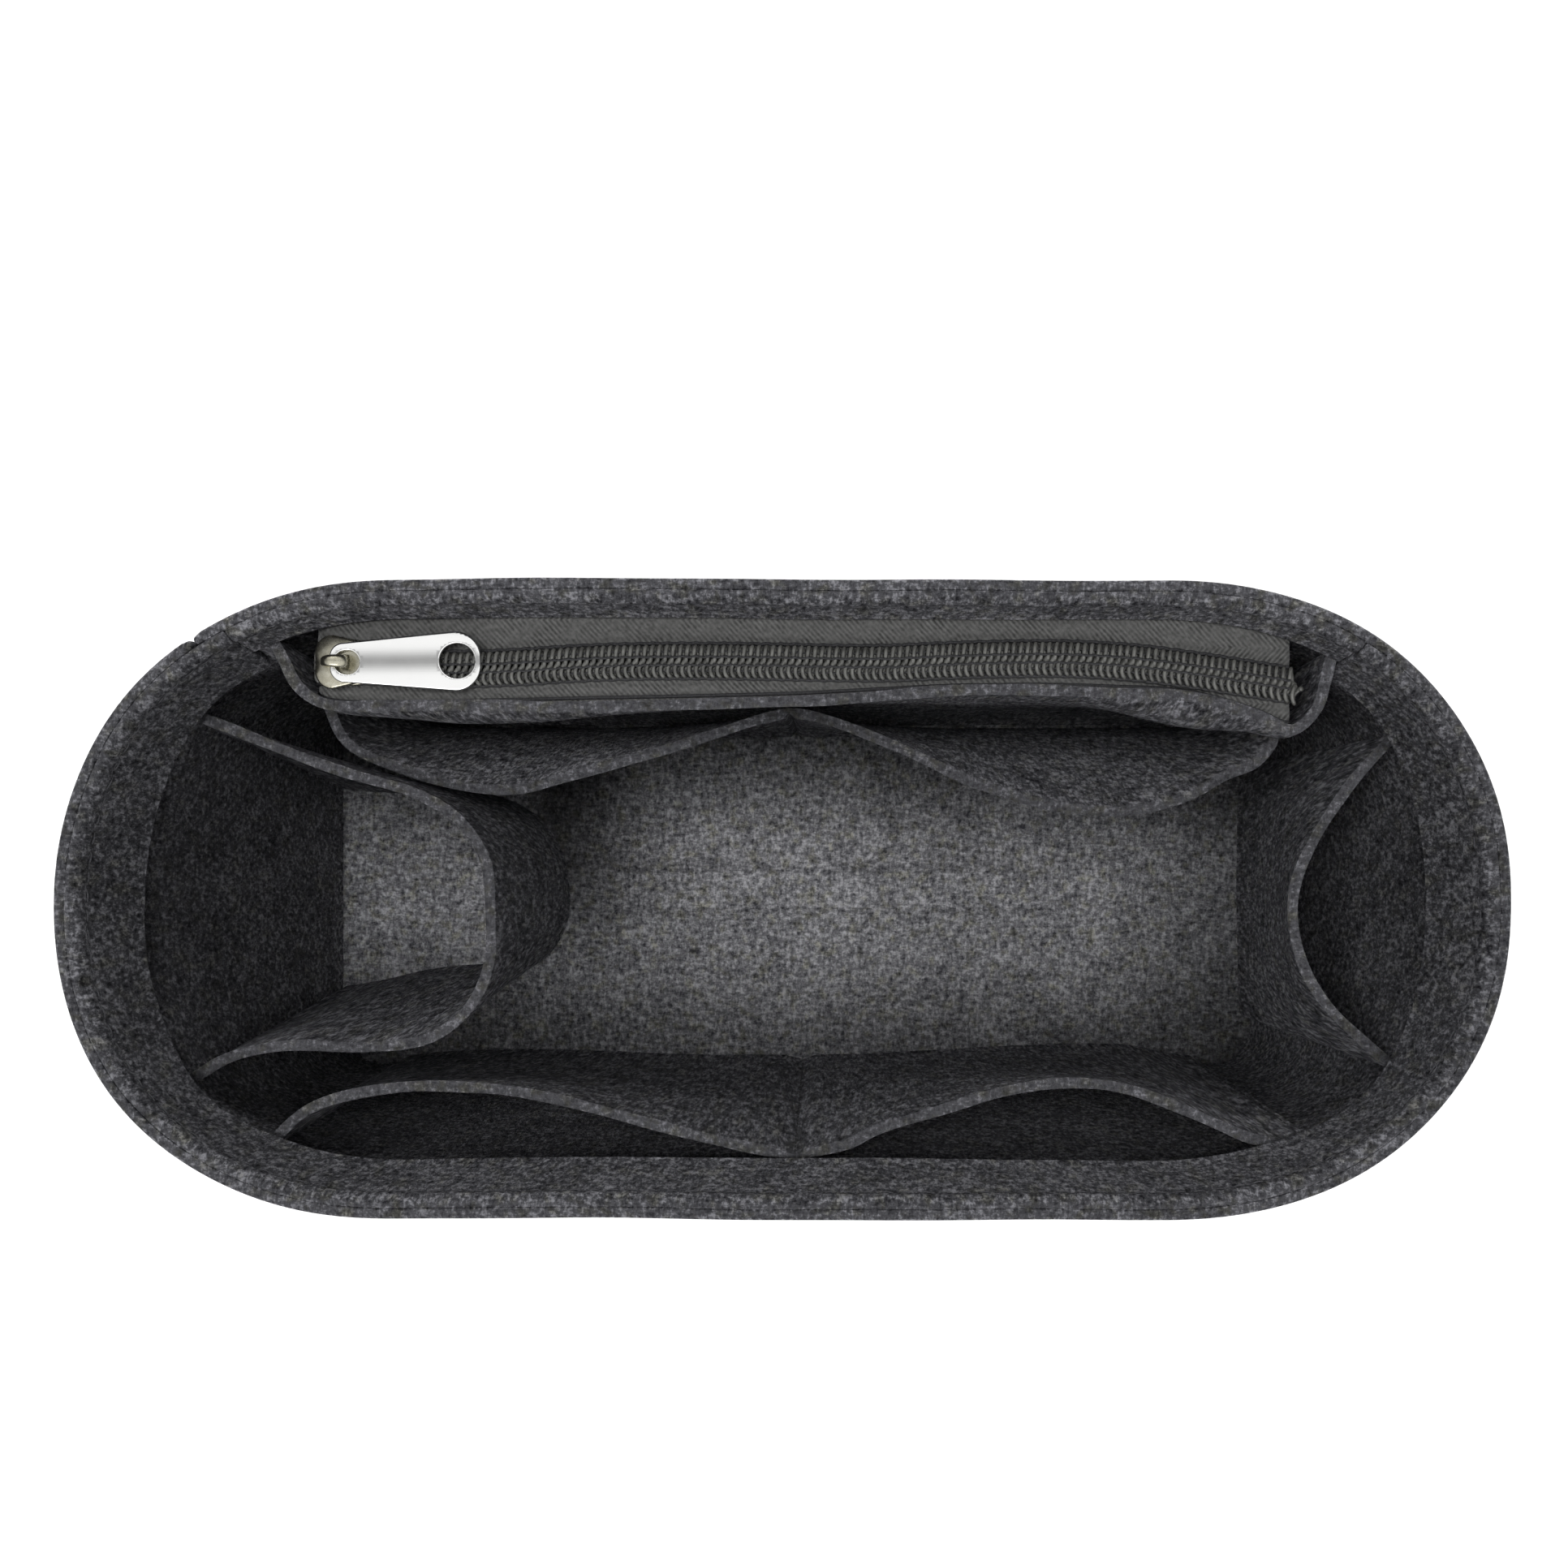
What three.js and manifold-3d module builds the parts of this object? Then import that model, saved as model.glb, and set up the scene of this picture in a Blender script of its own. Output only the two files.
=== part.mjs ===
// Purse organizer insert: an oblong felt tub with sewn felt pockets, and a zipped pocket along its rear.
// Millimetres. +X runs to the right, +Y to the rear, +Z up. The origin is the middle of the foot.

import * as THREE from 'three';
import { mergeVertices } from 'three/addons/utils/BufferGeometryUtils.js';
import Module from 'manifold-3d';

const wasm = await Module();
wasm.setup();

// Felt tub: its mouth is an oval, its foot an oblong with round corners
const rimLength = 250;
const rimWidth = 110;
const rimStraightLength = 133;
const rimFrontRoundRatio = 2.2;
const rimRearRoundRatio = 2.1;
const baseLength = 240;
const baseWidth = 94;
const baseCornerRadius = 12;
const insertHeight = 150;
const feltThickness = 2;
const sewnGap = 0.3;
const wallSeamWidth = 0.4;

// A wall share is a place along the wall: 0 at the front middle, a quarter at the right end
const wallSeamShare = 0.665;
const outlineSteps = 160;
const quarterStepShares = [
  { start: 0, steps: 5 },
  { start: 0.1, steps: 5 },
  { start: 0.155, steps: 8 },
  { start: 0.205, steps: 4 },
];
const tangentShare = 0.0005;
const leastStepShare = 0.001;

// Facings inside the rim: a deep one round the front and the ends, a shallow one over the zip and its panel
const facingDepth = 25;
const zipFacingDepth = 13.2;
const facingRightShare = 0.336;
const facingLeftShare = 0.656;
const facingGapShare = 0.0006;

// How far each pocket's top edge lies below the rim, and how far it stands off what it is sewn to
const leftPocketDrop = 32;
const rightPocketDrop = 31;
const frontPocketDrop = 28;
const rearPocketDrop = 50;
const rightPocketReach = 24.8;
const frontPocketReach = 15;
const zipPocketDepth = 9.4;
const rearPocketReach = 20;
const flareRatio = 1.4;

// Facets of each panel: along its plan line, and up its height
const leftPocketSteps = { along: 48, up: 3 };
const rightPocketSteps = { along: 32, up: 4 };
const frontPocketSteps = { along: 72, up: 4 };
const zipPocketSteps = { along: 60, up: 4 };
const rearPocketSteps = { along: 68, up: 4 };
const wallRiseShares = [0, 1 / 3, 2 / 3, 1];

// Where a strip's middle line ends, as a share of its thickness: cut off square at the wall, or lying on it
const cutEndShare = 0.3;
const lyingEndShare = 0.5;

// Left end pocket, as shares of half the rim and of half the base
const leftPocketRearTopShare = 0.689;
const leftPocketFrontTopShare = 0.8095;
const leftPocketRearFootShare = 0.708;
const leftPocketFrontFootShare = 0.79;
const leftPocketTopShares = [
  [-0.678, 0.438], [-0.56, 0.355], [-0.494, 0.262], [-0.456, 0.125], [-0.45, -0.02], [-0.456, -0.24],
  [-0.487, -0.38], [-0.542, -0.478], [-0.642, -0.52], [-0.765, -0.52], [-0.852, -0.562],
];
const leftPocketFootShares = [
  [-0.733, 0.528], [-0.625, 0.479], [-0.558, 0.372], [-0.515, 0.191], [-0.5, -0.011], [-0.508, -0.191],
  [-0.542, -0.34], [-0.6, -0.415], [-0.692, -0.432], [-0.792, -0.457], [-0.883, -0.511],
];

// Pockets that follow the wall: wall share and reach share at the top edge, then at the foot
const rightPocketShares = [
  [0.1963, 0, 0.2, 0], [0.1985, 0.21, 0.2015, 0.02], [0.2055, 0.58, 0.2085, 0.03], [0.22, 0.858, 0.221, 0.05],
  [0.2445, 1, 0.2445, 0.06], [0.2615, 0.945, 0.2615, 0.06], [0.2792, 0.741, 0.279, 0.05],
  [0.292, 0.429, 0.29, 0.03], [0.2967, 0.244, 0.2955, 0.02], [0.3018, 0, 0.299, 0],
];
const frontPocketShares = [
  [0.8447, 0, 0.8447, 0], [0.8465, 0.17, 0.847, 0.01], [0.8512, 0.465, 0.852, 0.03],
  [0.8575, 0.66, 0.858, 0.05], [0.868, 0.845, 0.868, 0.08], [0.8792, 0.955, 0.8792, 0.1],
  [0.8905, 0.99, 0.8905, 0.1], [0.9125, 0.91, 0.9125, 0.08], [0.9316, 0.765, 0.9316, 0.06],
  [0.9563, 0.52, 0.9563, 0.02], [0.9778, 0.325, 0.9778, 0.01], [1.0025, 0.16, 1.0025, 0.01],
  [1.0178, 0.26, 1.0178, 0.01], [1.0265, 0.44, 1.0265, 0.02], [1.045, 0.69, 1.045, 0.06],
  [1.0635, 0.905, 1.0635, 0.1], [1.082, 1, 1.082, 0.15], [1.1005, 0.93, 1.1005, 0.19],
  [1.1205, 0.65, 1.1205, 0.21], [1.1308, 0.44, 1.1308, 0.19], [1.14, 0.21, 1.14, 0.12],
  [1.148, 0.05, 1.148, 0.04], [1.157, 0.01, 1.157, 0.01],
];
const zipPocketShares = [
  [0.3398, 0, 0.335, 0], [0.3372, 0.3, 0.3375, 0], [0.335, 0.6, 0.34, 0], [0.339, 0.93, 0.3445, 0],
  [0.3532, 0.97, 0.3545, 0], [0.373, 0.98, 0.373, 0], [0.4002, 0.87, 0.4002, 0], [0.4462, 0.84, 0.4462, 0],
  [0.497, 0.93, 0.497, 0], [0.5315, 0.98, 0.5315, 0], [0.5842, 1, 0.5842, 0], [0.619, 1, 0.619, 0],
  [0.6395, 0.85, 0.6395, 0], [0.6465, 0.58, 0.6465, 0], [0.6478, 0.25, 0.6495, 0], [0.6492, 0.03, 0.6515, 0],
  [0.6535, 0, 0.654, 0],
];

// Rear pocket panel: its place along the zip pocket panel, as a share of half the rim, and its reach share
const rearPocketShares = [
  [-0.714, 0.04], [-0.7, 0.305], [-0.616, 0.555], [-0.525, 0.71], [-0.434, 0.75], [-0.355, 0.63],
  [-0.224, 0.39], [-0.12, 0.175], [-0.025, 0.01], [0.025, 0.01], [0.167, 0.37], [0.298, 0.755],
  [0.428, 1], [0.559, 1], [0.663, 0.74], [0.738, 0.44], [0.764, 0.12],
];
const rearPocketFootReachShare = 0.04;
const backingSteps = 240;
const backingFacesFrontShare = 0.5;

// Zip: it lies between the legs of its pocket panel, and its last stretch curls towards the front
const zipSetback = 1.5;
const zipLeftRoom = 4.7;
const zipRightRoom = 5.9;
const chainWidth = 6.6;
const coilHeight = 2;
const coilPitch = 1.27;
const toothDepth = 0.9;
const tapeThickness = 0.6;
const tapeDrop = 1.3;
const zipClearance = 0.3;
const postWidth = 1;
const curlLength = 16;
const curlDrop = 4.4;
const curlRatio = 1.3;
const tapeSteps = 24;
const searchSteps = 40;

// Slider, stored at the closed end of the chain
const sliderSetback = 1.4;
const sliderLength = 9.6;
const sliderNoseWidth = 8;
const sliderTailWidth = 7.8;
const sliderCornerRadius = 1.6;
const topPlateThickness = 1.2;
const bottomPlateThickness = 1;
const flangeThickness = 0.4;
const postMargin = 0.4;
const postLength = 2.4;
const plateCornerSteps = 4;
const hingeAlongShare = 0.4;
const archWidth = 2.2;
const archLegLength = 1.1;
const archBarHeight = 1;
const archRoom = 1.3;

// Pull: a flat tapered plate that swings on the slider's arch
const pullLength = 26.3;
const pullHingeWidth = 7;
const pullTipWidth = 10.1;
const pullThickness = 1.2;
const pullBarWidth = 0.9;
const hingeHoleDiameter = 4.2;
const tipHoleDiameter = 6.2;
const tipHoleMargin = 4.1;
const hingeCornerRadius = 2.2;
const tipCornerRadius = 4.6;
const hingeHeight = 1.3;
const pullCurveSteps = 10;

// Heights and places that follow from the sizes above
const facingFoot = insertHeight - facingDepth;
const zipFacingFoot = insertHeight - zipFacingDepth;
const zipFacingRightShare = facingRightShare + facingGapShare;
const zipFacingLeftShare = facingLeftShare - facingGapShare;
const leftPocketTop = insertHeight - leftPocketDrop;
const rightPocketTop = insertHeight - rightPocketDrop;
const frontPocketTop = insertHeight - frontPocketDrop;
const rearPocketTop = insertHeight - rearPocketDrop;
const zipPanelTop = zipFacingFoot - sewnGap;
const tapeTop = zipPanelTop - tapeDrop;
const coilFoot = tapeTop + zipClearance;
const coilTop = coilFoot + coilHeight;
const panelFoot = feltThickness + sewnGap;
const wallSeat = feltThickness + sewnGap;
const tapeInnerEdge = postWidth / 2 + zipClearance;
const plateFoot = coilTop + zipClearance;
const plateTop = plateFoot + topPlateThickness;
const bottomPlateTop = tapeTop - tapeThickness - zipClearance;
const hingeZ = plateTop + hingeHeight;

// Materials
const feltWall = new THREE.MeshStandardMaterial({ color: '#47474b', roughness: 0.95, metalness: 0 });
const feltPocket = new THREE.MeshStandardMaterial({ color: '#4d4d51', roughness: 0.95, metalness: 0 });
const feltFloor = new THREE.MeshStandardMaterial({ color: '#555558', roughness: 0.95, metalness: 0 });
const zipTape = new THREE.MeshStandardMaterial({ color: '#4f4f4a', roughness: 0.8, metalness: 0 });
const nylonCoil = new THREE.MeshStandardMaterial({ color: '#5b5b54', roughness: 0.45, metalness: 0 });
const sliderMetal = new THREE.MeshStandardMaterial({ color: '#8a8778', roughness: 0.35, metalness: 1 });
const pullMetal = new THREE.MeshStandardMaterial({ color: '#d8d8d8', roughness: 0.25, metalness: 1 });

const insert = new THREE.Group();

function addPiece(name, geometry, material) {
  const mesh = new THREE.Mesh(geometry, material);
  mesh.name = name;
  insert.add(mesh);
  return mesh;
}

// A closed outline from a front quarter and a rear quarter, both drawn from the middle to the right end
function closeQuarters(front, rear) {
  const rearRight = rear.slice(0, -1).reverse().map((p) => new THREE.Vector2(p.x, -p.y));
  const right = [...front, ...rearRight];
  const left = right.slice(1, -1).reverse().map((p) => new THREE.Vector2(-p.x, p.y));
  return [...front, ...rearRight, ...left];
}

function rimQuarter(roundRatio) {
  const straight = rimStraightLength / 2;
  const endLength = rimLength / 2 - straight;
  const points = [new THREE.Vector2(0, -rimWidth / 2)];
  for (let step = 0; step <= outlineSteps; step += 1) {
    const turn = (step / outlineSteps) * (Math.PI / 2);
    const along = Math.sin(turn) ** (2 / roundRatio);
    const across = Math.cos(turn) ** (2 / roundRatio);
    points.push(new THREE.Vector2(straight + endLength * along, (-rimWidth / 2) * across));
  }
  return points;
}

function baseQuarter() {
  const cornerX = baseLength / 2 - baseCornerRadius;
  const cornerY = -baseWidth / 2 + baseCornerRadius;
  const points = [new THREE.Vector2(0, -baseWidth / 2)];
  for (let step = 0; step <= outlineSteps; step += 1) {
    const turn = (step / outlineSteps) * (Math.PI / 2);
    const x = cornerX + baseCornerRadius * Math.sin(turn);
    points.push(new THREE.Vector2(x, cornerY - baseCornerRadius * Math.cos(turn)));
  }
  points.push(new THREE.Vector2(baseLength / 2, 0));
  return points;
}

// Gives the point at a share of an outline's own length
function outlineWalker(points) {
  const sums = [0];
  points.forEach((point, index) => {
    sums.push(sums[index] + point.distanceTo(points[(index + 1) % points.length]));
  });
  const total = sums[points.length];
  const pointAt = (share) => {
    const target = (share - Math.floor(share)) * total;
    const index = Math.max(0, sums.findIndex((sum) => sum > target) - 1);
    const next = points[(index + 1) % points.length];
    return points[index].clone().lerp(next, (target - sums[index]) / (sums[index + 1] - sums[index]));
  };
  return { pointAt, total };
}

const walkRim = outlineWalker(closeQuarters(rimQuarter(rimFrontRoundRatio), rimQuarter(rimRearRoundRatio)));
const walkBase = outlineWalker(closeQuarters(baseQuarter(), baseQuarter()));

// A point of the wall: on its outer face, or set in from it by a distance
function wallPoint(share, z, inset) {
  const lift = z / insertHeight;
  const outer = (place) => walkBase.pointAt(place).lerp(walkRim.pointAt(place), lift);
  const along = outer(share + tangentShare).sub(outer(share - tangentShare)).normalize();
  return outer(share).add(new THREE.Vector2(-along.y, along.x).multiplyScalar(inset));
}

// The wall's facet edges, from its seam once round to its seam again
function wallSteps() {
  const quarter = [];
  quarterStepShares.forEach(({ start, steps }, index) => {
    const end = index + 1 < quarterStepShares.length ? quarterStepShares[index + 1].start : 1 / 4;
    for (let step = 0; step < steps; step += 1) quarter.push(start + ((end - start) * step) / steps);
  });
  const half = [...quarter, 1 / 4, ...quarter.slice(1).reverse().map((share) => 1 / 2 - share)];
  return [...half, ...half.map((share) => share + 1 / 2)];
}

const wallGrid = [...wallSteps(), ...wallSteps().map((share) => share + 1)];

function gridBetween(start, end) {
  const inside = wallGrid.filter((share) => share > start + leastStepShare && share < end - leastStepShare);
  return [start, ...inside, end];
}

function lift3(point, z) {
  return new THREE.Vector3(point.x, point.y, z);
}

// A closed strip. Each row, from the foot up, holds the two faces' points in order along the strip
function stripGeometry(rows) {
  const count = rows[0].length;
  const positions = [];
  const faces = [];
  rows.forEach((row) => row.forEach(({ outer, inner }) => {
    positions.push(...outer.toArray(), ...inner.toArray());
  }));
  const at = (row, step, side) => 2 * (row * count + step) + side;
  const quad = (a, b, c, d) => faces.push(a, b, c, a, c, d);
  const last = rows.length - 1;
  for (let step = 0; step + 1 < count; step += 1) {
    for (let row = 0; row < last; row += 1) {
      quad(at(row, step, 0), at(row, step + 1, 0), at(row + 1, step + 1, 0), at(row + 1, step, 0));
      quad(at(row, step, 1), at(row + 1, step, 1), at(row + 1, step + 1, 1), at(row, step + 1, 1));
    }
    quad(at(last, step, 0), at(last, step + 1, 0), at(last, step + 1, 1), at(last, step, 1));
    quad(at(0, step, 0), at(0, step, 1), at(0, step + 1, 1), at(0, step + 1, 0));
  }
  for (let row = 0; row < last; row += 1) {
    quad(at(row, 0, 0), at(row + 1, 0, 0), at(row + 1, 0, 1), at(row, 0, 1));
    const end = count - 1;
    quad(at(row, end, 0), at(row, end, 1), at(row + 1, end, 1), at(row + 1, end, 0));
  }
  const geometry = new THREE.BufferGeometry();
  geometry.setAttribute('position', new THREE.Float32BufferAttribute(positions, 3));
  geometry.setIndex(faces);
  geometry.computeVertexNormals();
  return geometry;
}

// A strip that lies along the wall, between two insets from its outer face
function wallStrip(shares, heights, outerInset, innerInset) {
  const rows = heights.map((z) => shares.map((share) => ({
    outer: lift3(wallPoint(share, z, outerInset), z),
    inner: lift3(wallPoint(share, z, innerInset), z),
  })));
  return stripGeometry(rows);
}

// Samples a smooth line through plan points, with the direction at each sample
function samplePath(points, steps) {
  const curve = new THREE.CatmullRomCurve3(points.map((p) => lift3(p, 0)), false, 'centripetal');
  const samples = [];
  for (let step = 0; step <= steps; step += 1) {
    const point = curve.getPoint(step / steps);
    const along = curve.getTangent(step / steps);
    samples.push({ point: new THREE.Vector2(point.x, point.y), along: new THREE.Vector2(along.x, along.y) });
  }
  return samples;
}

// A felt strip that stands on edge along a plan line, which changes from its foot to its top edge
function standingStrip(planLine, top, steps) {
  const rows = [];
  for (let level = 0; level <= steps.up; level += 1) {
    const z = mix(panelFoot, top, level / steps.up);
    rows.push(samplePath(planLine(z), steps.along).map(({ point, along }) => {
      const side = new THREE.Vector2(along.y, -along.x).multiplyScalar(feltThickness / 2);
      return { outer: lift3(point.clone().add(side), z), inner: lift3(point.clone().sub(side), z) };
    }));
  }
  return stripGeometry(rows);
}

// A flat plate: a plan outline given a thickness, with its underside at a height
function plate(shape, thickness, foot, curveSegments = 1) {
  const geometry = new THREE.ExtrudeGeometry(shape, { depth: thickness, bevelEnabled: false, curveSegments });
  return geometry.translate(0, 0, foot);
}

// How far up a pocket panel a height lies, from 0 at its foot to 1 at its top edge
function panelLift(z, top) {
  return THREE.MathUtils.clamp((z - panelFoot) / (top - panelFoot), 0, 1);
}

function mix(low, high, lift) {
  return low + (high - low) * lift;
}

// Plan line of a pocket that follows the wall
function wallPocketLine(shares, reach, top, endShares) {
  return (z) => {
    const lift = panelLift(z, top);
    const flare = lift ** flareRatio;
    return shares.map(([topShare, topReach, footShare, footReach], index) => {
      let seatShare = lyingEndShare;
      if (index === 0) seatShare = mix(lyingEndShare, endShares.first, lift);
      if (index === shares.length - 1) seatShare = mix(lyingEndShare, endShares.last, lift);
      const standOff = feltThickness * seatShare + reach * mix(footReach, topReach, flare);
      return wallPoint(mix(footShare, topShare, lift), z, wallSeat + standOff);
    });
  };
}

function outerWall() {
  const halfSeam = wallSeamWidth / 2 / walkRim.total;
  const shares = gridBetween(wallSeamShare + halfSeam, wallSeamShare + 1 - halfSeam);
  const rises = wallRiseShares.map((share) => facingFoot * share);
  return wallStrip(shares, [...rises, insertHeight], 0, feltThickness);
}

function basePanel() {
  const outline = wallSteps().map((share) => wallPoint(share, 0, wallSeat));
  return plate(new THREE.Shape(outline), feltThickness, 0);
}

function facing(startShare, endShare, depth) {
  const heights = [insertHeight - depth, insertHeight];
  return wallStrip(gridBetween(startShare, endShare), heights, wallSeat, wallSeat + feltThickness);
}

function leftPocketLine(z) {
  const lift = panelLift(z, leftPocketTop);
  const inset = wallSeat + feltThickness * cutEndShare;
  const free = leftPocketTopShares.map(([topX, topY], index) => {
    const [footX, footY] = leftPocketFootShares[index];
    const foot = new THREE.Vector2((footX * baseLength) / 2, (footY * baseWidth) / 2);
    return foot.lerp(new THREE.Vector2((topX * rimLength) / 2, (topY * rimWidth) / 2), lift);
  });
  const rearEnd = wallPoint(mix(leftPocketRearFootShare, leftPocketRearTopShare, lift), z, inset);
  const frontEnd = wallPoint(mix(leftPocketFrontFootShare, leftPocketFrontTopShare, lift), z, inset);
  return [rearEnd, ...free, frontEnd];
}

// The zip pocket panel reaches as far as its legs' ends lie in front of the wall's middle, and a depth more
const rearMiddle = wallPoint(1 / 2, tapeTop, wallSeat);
const rightLegEnd = wallPoint(zipPocketShares[0][0], tapeTop, wallSeat);
const zipPocketReach = rearMiddle.y - rightLegEnd.y + zipPocketDepth;

const bothCut = { first: cutEndShare, last: cutEndShare };
const lastLying = { first: cutEndShare, last: lyingEndShare };
const rightPocketLine = wallPocketLine(rightPocketShares, rightPocketReach, rightPocketTop, bothCut);
const frontPocketLine = wallPocketLine(frontPocketShares, frontPocketReach, frontPocketTop, lastLying);
const zipPocketLine = wallPocketLine(zipPocketShares, zipPocketReach, zipPanelTop, lastLying);

// The zip pocket panel's middle line at a place along X, and the direction square to it, to the front
function zipPocketAt(x, z) {
  const facesFront = ({ along }) => -along.x > backingFacesFrontShare;
  const samples = samplePath(zipPocketLine(z), backingSteps).filter(facesFront);
  const index = Math.max(1, samples.findIndex(({ point }) => point.x <= x));
  const after = samples[index];
  const before = samples[index - 1];
  const share = (x - before.point.x) / (after.point.x - before.point.x);
  const front = new THREE.Vector2(-after.along.y, after.along.x).normalize();
  return { point: before.point.clone().lerp(after.point, share), front };
}

// The chain lies a little in front of where the zip pocket panel's right leg meets the wall
const zipLegLine = samplePath(zipPocketLine(tapeTop), backingSteps).map(({ point }) => point);
const chainY = zipLegLine[0].y - zipSetback;

// The places along X where the panel's two legs cross the line of the chain
function legPlaces() {
  const places = [];
  zipLegLine.slice(1).forEach((after, index) => {
    const before = zipLegLine[index];
    const share = (chainY - before.y) / (after.y - before.y);
    if (share > 0 && share <= 1) places.push(mix(before.x, after.x, share));
  });
  return { left: Math.min(...places), right: Math.max(...places) };
}

const zipLegs = legPlaces();
const zipLeftEnd = zipLegs.left + zipLeftRoom;
const zipRightEnd = zipLegs.right - zipRightRoom;
const sliderLeftEnd = zipLeftEnd + sliderSetback;
const hingeX = sliderLeftEnd + sliderLength * hingeAlongShare;

function rearPocketLine(z) {
  const lift = panelLift(z, rearPocketTop) ** flareRatio;
  return rearPocketShares.map(([place, reachShare], index) => {
    const isEnd = index === 0 || index === rearPocketShares.length - 1;
    const { point, front } = zipPocketAt((place * rimLength) / 2, z);
    const footReach = isEnd ? 0 : rearPocketFootReachShare;
    const cut = isEnd ? mix(0, (cutEndShare - lyingEndShare) * feltThickness, lift) : 0;
    const standOff = feltThickness + sewnGap + cut + rearPocketReach * mix(footReach, reachShare, lift);
    return point.add(front.multiplyScalar(standOff));
  });
}

// The chain's middle line: straight, then curling to the front over its last stretch
function chainLineY(x) {
  const past = Math.max(0, (x - zipRightEnd + curlLength) / curlLength);
  return chainY - curlDrop * past ** curlRatio;
}

function tapePlaces() {
  const places = [];
  for (let step = 0; step <= tapeSteps; step += 1) {
    places.push(mix(zipLeftEnd, zipRightEnd, step / tapeSteps));
  }
  return places;
}

// The wall's inner face at the zip's height, at a place along X
function rearWallY(x) {
  let low = 1 / 4;
  let high = 3 / 4;
  for (let pass = 0; pass < searchSteps; pass += 1) {
    const middle = (low + high) / 2;
    if (wallPoint(middle, tapeTop, wallSeat).x > x) low = middle;
    else high = middle;
  }
  return wallPoint(low, tapeTop, wallSeat).y;
}

function rearTape() {
  const front = tapePlaces().map((x) => new THREE.Vector2(x, chainLineY(x) + tapeInnerEdge));
  const rear = tapePlaces().reverse().map((x) => new THREE.Vector2(x, rearWallY(x) - sewnGap));
  return plate(new THREE.Shape([...front, ...rear]), tapeThickness, tapeTop - tapeThickness);
}

function frontTape() {
  const toPanel = feltThickness / 2 + sewnGap;
  const rear = tapePlaces().reverse().map((x) => new THREE.Vector2(x, chainLineY(x) - tapeInnerEdge));
  const front = tapePlaces().map((x) => {
    const { point, front: out } = zipPocketAt(x, tapeTop);
    return point.sub(out.multiplyScalar(toPanel));
  });
  return plate(new THREE.Shape([...front, ...rear]), tapeThickness, tapeTop - tapeThickness);
}

// One side of the chain: a bar whose inner edge is cut into teeth. Side is 1 at the rear, -1 in front
function coil(side) {
  const teeth = Math.round((zipRightEnd - zipLeftEnd) / coilPitch);
  const pitch = (zipRightEnd - zipLeftEnd) / teeth;
  const outline = [];
  for (let half = 0; half <= 2 * teeth; half += 1) {
    const x = zipLeftEnd + (half * pitch) / 2;
    const isTip = half % 2 === (side > 0 ? 0 : 1);
    outline.push(new THREE.Vector2(x, chainLineY(x) + side * (tapeInnerEdge + (isTip ? 0 : toothDepth))));
  }
  tapePlaces().reverse().forEach((x) => {
    outline.push(new THREE.Vector2(x, chainLineY(x) + (side * chainWidth) / 2));
  });
  return plate(new THREE.Shape(outline), coilHeight, coilFoot);
}

// Joins closed geometries into one solid
function joined(geometries) {
  const solids = geometries.map((geometry) => {
    const bare = geometry.clone();
    bare.deleteAttribute('normal');
    bare.deleteAttribute('uv');
    const merged = mergeVertices(bare);
    return new wasm.Manifold(new wasm.Mesh({
      numProp: 3,
      vertProperties: new Float32Array(merged.attributes.position.array),
      triVerts: new Uint32Array(merged.index.array),
    }));
  });
  const mesh = solids.reduce((whole, solid) => whole.add(solid)).getMesh();
  const geometry = new THREE.BufferGeometry();
  geometry.setAttribute('position', new THREE.Float32BufferAttribute(mesh.vertProperties, mesh.numProp));
  geometry.setIndex(Array.from(mesh.triVerts));
  geometry.computeVertexNormals();
  return geometry;
}

// A tapered outline along X with rounded corners
function taperedOutline(left, right, leftWidth, rightWidth, leftRadius, rightRadius, middleY) {
  const shape = new THREE.Shape();
  const leftHalf = leftWidth / 2;
  const rightHalf = rightWidth / 2;
  shape.moveTo(left + leftRadius, middleY - leftHalf);
  shape.lineTo(right - rightRadius, middleY - rightHalf);
  shape.quadraticCurveTo(right, middleY - rightHalf, right, middleY - rightHalf + rightRadius);
  shape.lineTo(right, middleY + rightHalf - rightRadius);
  shape.quadraticCurveTo(right, middleY + rightHalf, right - rightRadius, middleY + rightHalf);
  shape.lineTo(left + leftRadius, middleY + leftHalf);
  shape.quadraticCurveTo(left, middleY + leftHalf, left, middleY + leftHalf - leftRadius);
  shape.lineTo(left, middleY - leftHalf + leftRadius);
  shape.quadraticCurveTo(left, middleY - leftHalf, left + leftRadius, middleY - leftHalf);
  return shape;
}

function block(left, right, front, rear, foot, top) {
  const geometry = new THREE.BoxGeometry(right - left, rear - front, top - foot);
  return geometry.translate((left + right) / 2, (front + rear) / 2, (foot + top) / 2);
}

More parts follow.
